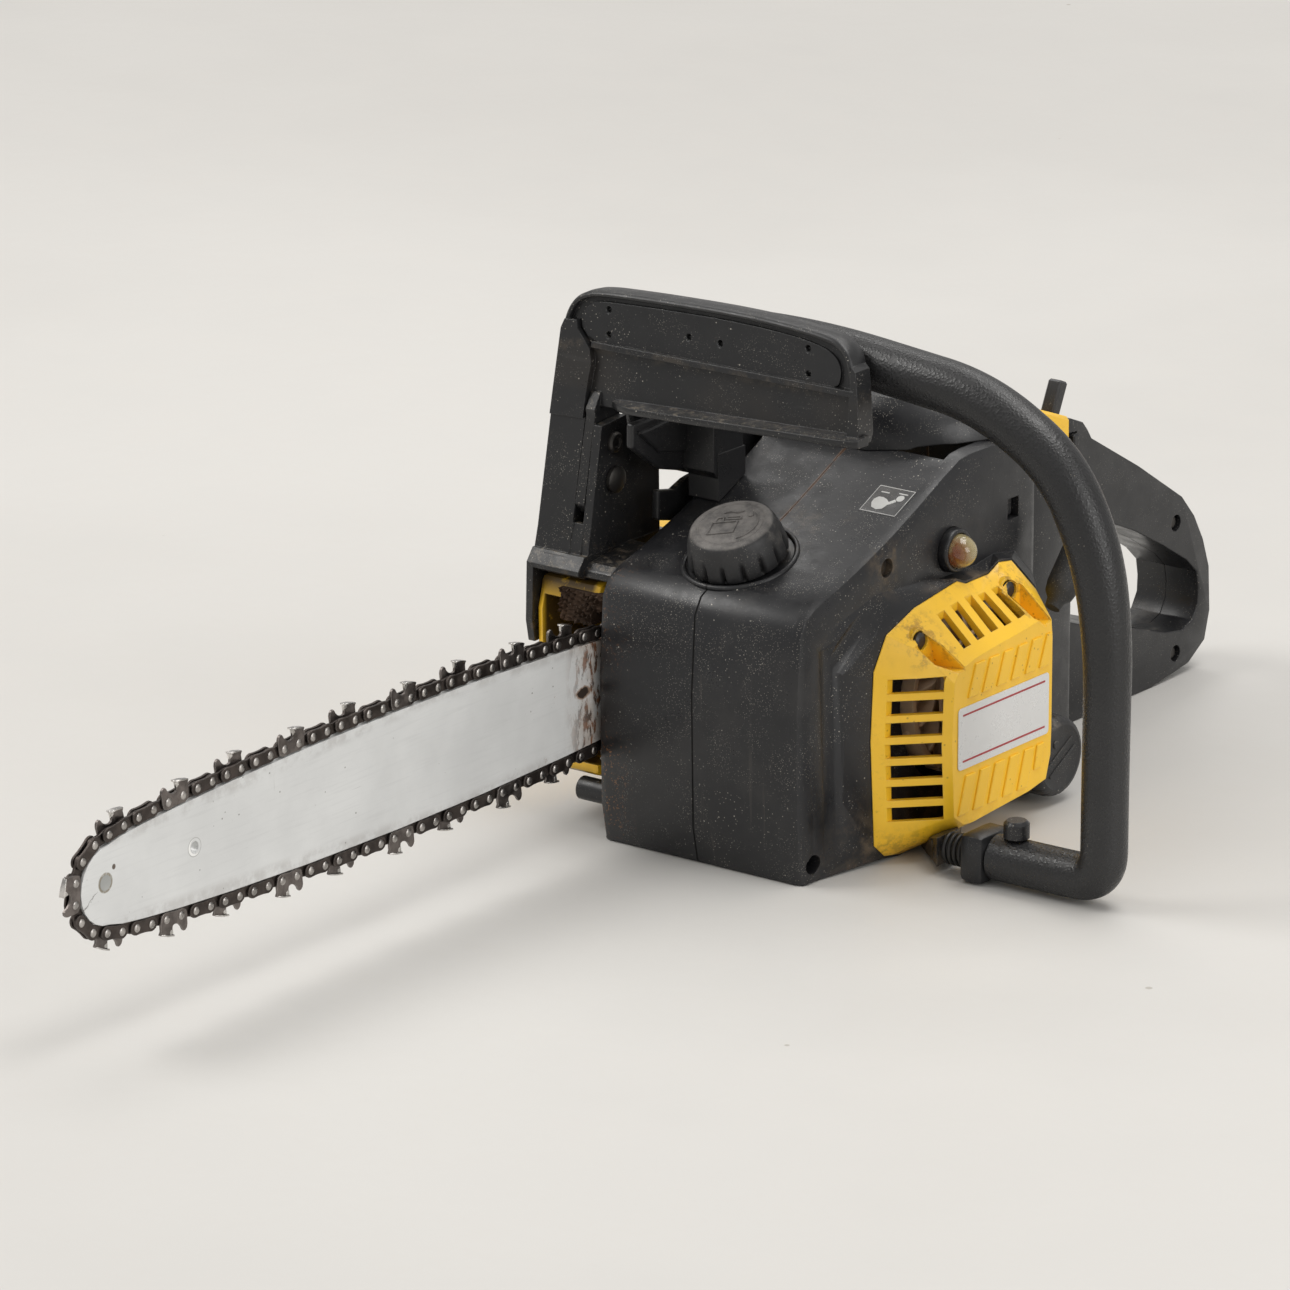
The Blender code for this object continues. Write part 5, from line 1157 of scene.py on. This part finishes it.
def build_hand_guard():
    back_plate = slab([(x * 0.985, z - 1.2) for x, z in GUARD_EDGE]
                      + [(63.4, 200.4), (-73.0, 194.0), (-101.0, 193.0)], 3.4, setback=3.0)
    steps = [("UNION", shape) for shape in (
        rail(GUARD_EDGE, GUARD_RIM), slab(GUARD_PANEL, 2.6, setback=1.5),
        slab(GUARD_LEDGE, 5.4, setback=-0.4), guard_sill(),
        slab(GUARD_CHEEK, 10.8, setback=-0.4), slab(GUARD_ARM, 14.8, setback=-0.7),
        Shape().prism(GUARD_LEG, SIDE, -83.6, -78.6))]
    for x, z in GUARD_HOLES:
        steps.append(("DIFFERENCE", Shape().lathe(
            [(1.35, -6.0), (1.35, 1.9), (2.3, 3.2), (2.3, 8.0)], (x, lean(z) + 4.0, z),
            (0, -1, 0), 16)))
    steps.append(("DIFFERENCE", Shape().lathe([(4.3, -12), (4.3, 12)], (-80.0, *GUARD_BOLT),
                                              (1, 0, 0), 24)))
    mesh_piece("hand_guard_moulding", *joined(back_plate, steps), BLACK_GUARD, body="guard",
               smooth=38, bevel=0.45, replaces="hand_guard")


# ================================================================ starter cover
FACE = side_plane((92.0, 0, 0))
# ribs above and below the label: first y, spacing, rib outline, last rib's outline;
# outlines are (y from the rib's start, z)
RIB_ROWS = (
    (-31.0, 11.2, [(0, 75.5), (7.4, 75.5), (13.4, 90.5), (6.0, 90.5)],
     [(0, 75.5), (7.4, 75.5), (9.9, 82.5), (9.9, 90.5), (6.0, 90.5)]),
    (-38.0, 11.6, [(0, 21.5), (7.4, 21.5), (13.2, 39.5), (5.8, 39.5)],
     [(1.5, 28.0), (7.0, 28.0), (9.8, 39.5), (4.0, 39.5)]))
RIBS = 6
# outlines (y, z) of the cover at its rim and at its face
COVER_RIM = [(-58, 3.0), (-66.0, 10), (-69.0, 60), (-67.0, 92), (-57.5, 107), (-36, 114.5),
             (-3, 119), (4, 116.2), (22, 116.4), (30, 120), (40, 118.5), (60, 100), (60, 88),
             (53, 76), (49, 60), (42, 44), (36.5, 32), (33, 20), (18, 10.0), (-46, 0.8)]
COVER_FACE = [(-33, 16.5), (-40.5, 22), (-42.5, 56), (-41, 85), (-37, 90), (-24, 93), (-6, 95),
              (2, 95.6), (16, 97), (24, 98), (28, 98.2), (35, 96.5), (36, 88), (36, 76),
              (36, 60), (36, 44), (35.5, 32), (32, 21), (18, 18.6), (-26, 15.8)]
POCKETS = (                               # outlines (y, z) round the cover's screws
    ("front", [(-49, 101.5), (-41, 107.5), (-36.4, 99), (-33.5, 88.5), (-38.5, 88.5),
               (-44.5, 92.5)]),
    ("rear", [(21.5, 108.5), (27, 115.5), (33.5, 110), (33.8, 95), (30, 93.5), (24, 98)]))


def grown(points, factor):
    centre_y = sum(p[0] for p in points) / len(points)
    centre_z = sum(p[1] for p in points) / len(points)
    return [(centre_y + (y - centre_y) * factor, centre_z + (z - centre_z) * factor)
            for y, z in points]


def side_ring(x, outline, lift=0.0):
    return [(x, y, z + lift) for y, z in reversed(outline)]


def build_cover_ribs():
    ribs = Shape()
    for start, spacing, outline, last in RIB_ROWS:
        for k in range(RIBS):
            shift = start + spacing * k
            points = outline if k < RIBS - 1 else last
            ribs.prism([(shift + u, v) for u, v in points], FACE, -0.3, 0.9)
    ribs.piece("starter_cover_ribs", YELLOW, slot="yellow_plastic", bevel=0.45)


def build_screw_pockets():
    """Floor and walls of the pockets round the two cover screws."""
    for (tag, leaf), (screw_y, screw_z) in zip(POCKETS, COVER_SCREWS):
        block = Shape().prism(grown(leaf, 1.18), SIDE, 73.6, 96.0)
        inside = Shape().rings([side_ring(66.0, grown(COVER_RIM, 0.992)),
                                side_ring(91.8, grown(COVER_FACE, 0.992))])
        pocket = Shape().rings([side_ring(75.4, leaf),
                                side_ring(97.0, grown(leaf, 1.05), lift=2.0)])
        hole = Shape().lathe([(3.9, -8), (3.9, 8)], (75.0, screw_y, screw_z), (1, 0, 0), 20)
        steps = [("INTERSECT", inside), ("DIFFERENCE", pocket), ("DIFFERENCE", hole)]
        mesh_piece("screw_pocket_" + tag, *joined(block, steps), YELLOW, slot="yellow_plastic",
                   smooth=40, bevel=0.3, segments=1)


def build_label():
    """Silver plate with a red line near its top and its bottom."""
    Shape().prism(rounded_rect(-38.3, 33.0, 42.9, 72.1, 2.0), FACE, 0.05, 0.55).piece(
        "starter_label_blank", LABEL, slot="yellow_plastic", bevel=0.12, segments=1)
    lines = Shape()
    for v in (46.3, 68.0):
        lines.prism(rounded_rect(-35.0, 29.8, v, v + 0.9, 0.3, steps=3), FACE, 0.5, 0.62)
    lines.piece("starter_label_lines", LABEL_RED, slot="yellow_plastic")


def build_flywheel_fins():
    # radius, x from, x to, bend sideways, half thickness
    stations = ((19.0, 56.0, 66.5, -1.5, 1.3), (27.0, 56.0, 70.0, 0.6, 1.1),
                (34.0, 56.0, 69.0, 3.6, 1.0), (40.5, 56.0, 64.0, 7.2, 0.9))
    fins = Shape()
    for a in turns(14):
        centre, out, side, _ = side_plane((0, 0, CRANK_Z), turn=a + 0.2)
        rings = []
        for radius, x0, x1, bend, half in stations:
            p = centre + out * radius + side * bend
            rings.append([p + Vector((x, 0, 0)) + side * t
                          for x, t in ((x0, -half), (x1, -half), (x1, half), (x0, half))])
        fins.rings(rings)
    fins.piece("flywheel_fins", CREAM, slot="cream_plastic", body="crank", smooth=40, bevel=0.3,
               segments=1)


# ====================================================== brake housing and chips
def build_brake_housing_parts():
    """Skirt over the clutch cover's top, and two webs behind the guard."""
    Shape().prism([(-96.9, 117.9), (-97.2, 121.5), (-93.0, 124.5), (-62.0, 128.0),
                   (-58.0, 118.4)], SIDE, -99.5, -53.0).piece(
        "brake_housing_skirt", BLACK_GUARD, bevel=0.8)
    bracket = Shape().prism(
        [(-84.4, 190.0), (-84.5, 179.0), (-64.5, 164.6), (-39.8, 158.0), (2.4, 154.3),
         (21.6, 166.3), (18.0, 180.0), (-28.4, 183.0), (-40.0, 190.0)], SIDE, -59.5, -55.5)
    bracket.prism([(-82.0, 186.0), (-66.0, 173.0), (-45.0, 169.0), (-45.0, 188.0)],
                  SIDE, -56.0, -53.5)
    bracket.piece("handle_bracket_web", BLACK_SMOOTH, bevel=1.2, segments=3)
    Shape().prism([(-59.5, 152.7), (-47.5, 150.4), (-38.5, 153.5), (-21.8, 155.8),
                   (-21.8, 129.6), (-59.6, 138.5)], SIDE, -64.0, -60.0).piece(
        "brake_housing_web", BLACK_GUARD, bevel=1.0)


def build_packed_chips():
    """A block with a lumpy front, packed in the clutch cover's mouth."""
    columns, rows = 22, 14
    rings = []
    for i in range(columns + 1):
        x = -86.0 + 27.0 * i / columns
        column = []
        for j in range(rows + 1):
            z = 97.0 + 15.0 * j / rows
            if x > -66.5:
                z = max(z, 104.5 + 0.8 * math.sin(x))
            lump = (1.3 * math.sin(x * 1.9 + z * 0.7) * math.cos(z * 1.3 - x * 0.4)
                    + 0.9 * math.sin(x * 4.1 - z * 2.3) + 0.5 * math.cos(x * 7.7 + z * 5.1))
            column.append((x, -99.4 + lump, z))
        rings.append(column + [(x, -84.0, z) for x, _, z in reversed(column)])
    Shape().rings(rings).piece("packed_chips", MUD, smooth=30)


def build_recess_floor():
    """Rounded block at the bottom of the square recess on the +X side."""
    Shape().prism(rounded_rect(48.6, 56.4, 134.6, 143.4, 1.6, steps=4), SIDE, 50.0, 54.6).piece(
        "recess_floor", BLACK_CAP, bevel=0.6)


# ================================================================= roof sticker
STICKER_X, STICKER_Y = 41.2, -22.4
STICKER_HALF_WIDTH = 10.2


def on_roof(u, v, lift):
    """u along +X from the sticker's middle, v up the roof along +Y."""
    y = STICKER_Y + v
    return Vector((STICKER_X + u, y, roof(y) + lift))


def build_sticker():
    """A frame and a plain fist with its thumb on a round bulb."""
    half = STICKER_HALF_WIDTH
    Shape().rings([[on_roof(u, v, lift) for u, lift in (
        (-half, 0.05), (half, 0.05), (half, 0.22), (-half, 0.22))]
        for v in (-8.6, -6.0, -3.0, 0.0, 3.0, 6.0, 8.6)]).piece("roof_sticker", STICKER)

    border = [(-9.6, -8.0), (-3.0, -8.0), (3.0, -8.0), (9.6, -8.0), (9.6, -3.0), (9.6, 3.0),
              (9.6, 8.0), (3.0, 8.0), (-3.0, 8.0), (-9.6, 8.0), (-9.6, 3.0), (-9.6, -3.0),
              (-9.6, -8.0)]
    fist = [(-7.0, -2.6), (-5.4, -5.2), (-2.2, -6.2), (0.4, -5.2), (1.4, -2.8), (0.8, -0.4),
            (-1.0, 0.8), (-3.4, 1.6), (-5.8, 1.4), (-7.2, -0.4)]
    thumb = [(0.2, -2.2), (2.4, -0.6), (3.8, 1.0)]
    bulb = arc(5.2, 2.6, 1.9, range(0, 360, 24))
    ink = Shape()
    for outlines, high in ((stroke(border, 0.28, overlap=0), 0.30), ([fist], 0.36),
                           (stroke(thumb, 1.8, overlap=0), 0.36), ([bulb], 0.36),
                           (stroke([(2.6, 5.4), (7.4, 5.4)], 0.6, overlap=0), 0.34),
                           (stroke([(-6.6, 4.6), (-2.2, 4.6)], 0.6, overlap=0), 0.34)):
        for outline in outlines:
            ink.rings([[on_roof(u, v, lift) for u, v in outline] for lift in (0.15, high)])
    ink.piece("roof_sticker_print", STICKER_WHITE)


def build_guard_screw():
    """A hollow-headed screw on the guard's leg, above its bolt."""
    head = [(4.8, 0), (4.8, 1.3), (3.9, 2.2), (2.6, 2.3), (2.4, 1.1), (0, 1.0)]
    Shape().lathe(head, (-73.7, -74.6, 176.8), (1, 0, 0), 28).piece(
        "guard_side_screws", DARK_STEEL, slot="bright_steel", smooth=40)


# ======================================================================== stage
def build_floor():
    """A wide flat disc, a hair below z = 0."""
    sides, radii, drop = 72, (700, 2500, 7000, 20000), -0.05
    verts = [(0.0, 0.0, drop)]
    for r in radii:
        verts += [(r * math.cos(a), r * math.sin(a), drop) for a in turns(sides)]
    faces = [(0, 1 + k, 1 + (k + 1) % sides) for k in range(sides)]
    for ring in range(len(radii) - 1):
        a, b = 1 + ring * sides, 1 + (ring + 1) * sides
        faces += [(a + k, b + k, b + (k + 1) % sides, a + (k + 1) % sides) for k in range(sides)]
    floor = new_object("studio_floor", verts, faces)
    floor.data.materials.append(floor_finish())
    floor.data.shade_smooth()


def build_world():
    world = bpy.data.worlds.new("studio")
    world.use_nodes = True
    background = world.node_tree.nodes["Background"]
    background.inputs["Color"].default_value = (1.0, 0.985, 0.965, 1)
    background.inputs["Strength"].default_value = 0.52
    bpy.context.scene.world = world


def area_light(name, place, target, size, power, colour):
    light = bpy.data.lights.new(name, "AREA")
    light.shape = "RECTANGLE"
    light.size, light.size_y = size
    light.energy = power
    light.color = colour
    obj = bpy.data.objects.new(name, light)
    obj.location = place
    obj.rotation_mode = "QUATERNION"
    obj.rotation_quaternion = (Vector(target) - Vector(place)).to_track_quat("-Z", "Y")
    obj.visible_camera = False
    bpy.context.scene.collection.objects.link(obj)


def build_lights():
    area_light("key_left", place=(-1.55, -1.0, 2.05), target=(0.0, -0.12, 0.0),
               size=(1.3, 1.1), power=26, colour=(1.0, 0.985, 0.96))
    area_light("overhead", place=(0.5, 0.4, 2.2), target=(0.0, 0.0, 0.05),
               size=(1.5, 1.0), power=22, colour=(1.0, 0.985, 0.965))
    area_light("side_soft", place=(2.3, -0.3, 1.0), target=(0.0, -0.05, 0.1),
               size=(1.2, 1.4), power=17, colour=(1.0, 0.99, 0.975))
    area_light("floor_wash", place=(-1.2, 1.8, 2.7), target=(-1.5, 2.4, 0.0),
               size=(2.4, 1.4), power=34, colour=(1.0, 0.985, 0.965))


def build_camera():
    """Looks from the front of the +X side, a little down."""
    data = bpy.data.cameras.new("camera")
    data.sensor_width = 36.0
    data.lens = 211.713488
    data.clip_start, data.clip_end = 0.05, 60.0
    camera = bpy.data.objects.new("camera", data)
    right = Vector((0.79402, 0.60788, -0.00320))
    back = Vector((0.58105, -0.75740, 0.29789))
    axes = Matrix((right, back.cross(right), back)).transposed().to_4x4()
    camera.matrix_world = Matrix.Translation((1.9474, -2.6866, 1.1111)) @ axes
    scene = bpy.context.scene
    scene.collection.objects.link(camera)
    scene.camera = camera
    scene.view_settings.view_transform = "Standard"
    scene.view_settings.look = "None"


refinish_parts()
build_chain()
build_bar_nose_rivets()
build_front_handle()
build_fuel_cap()
build_filler_lip()
build_oil_cap()
build_primer()
build_av_spring()
build_hand_guard()
build_cover_ribs()
build_screw_pockets()
build_label()
build_flywheel_fins()
build_brake_housing_parts()
build_packed_chips()
build_recess_floor()
build_sticker()
build_guard_screw()
build_floor()
build_world()
build_lights()
build_camera()
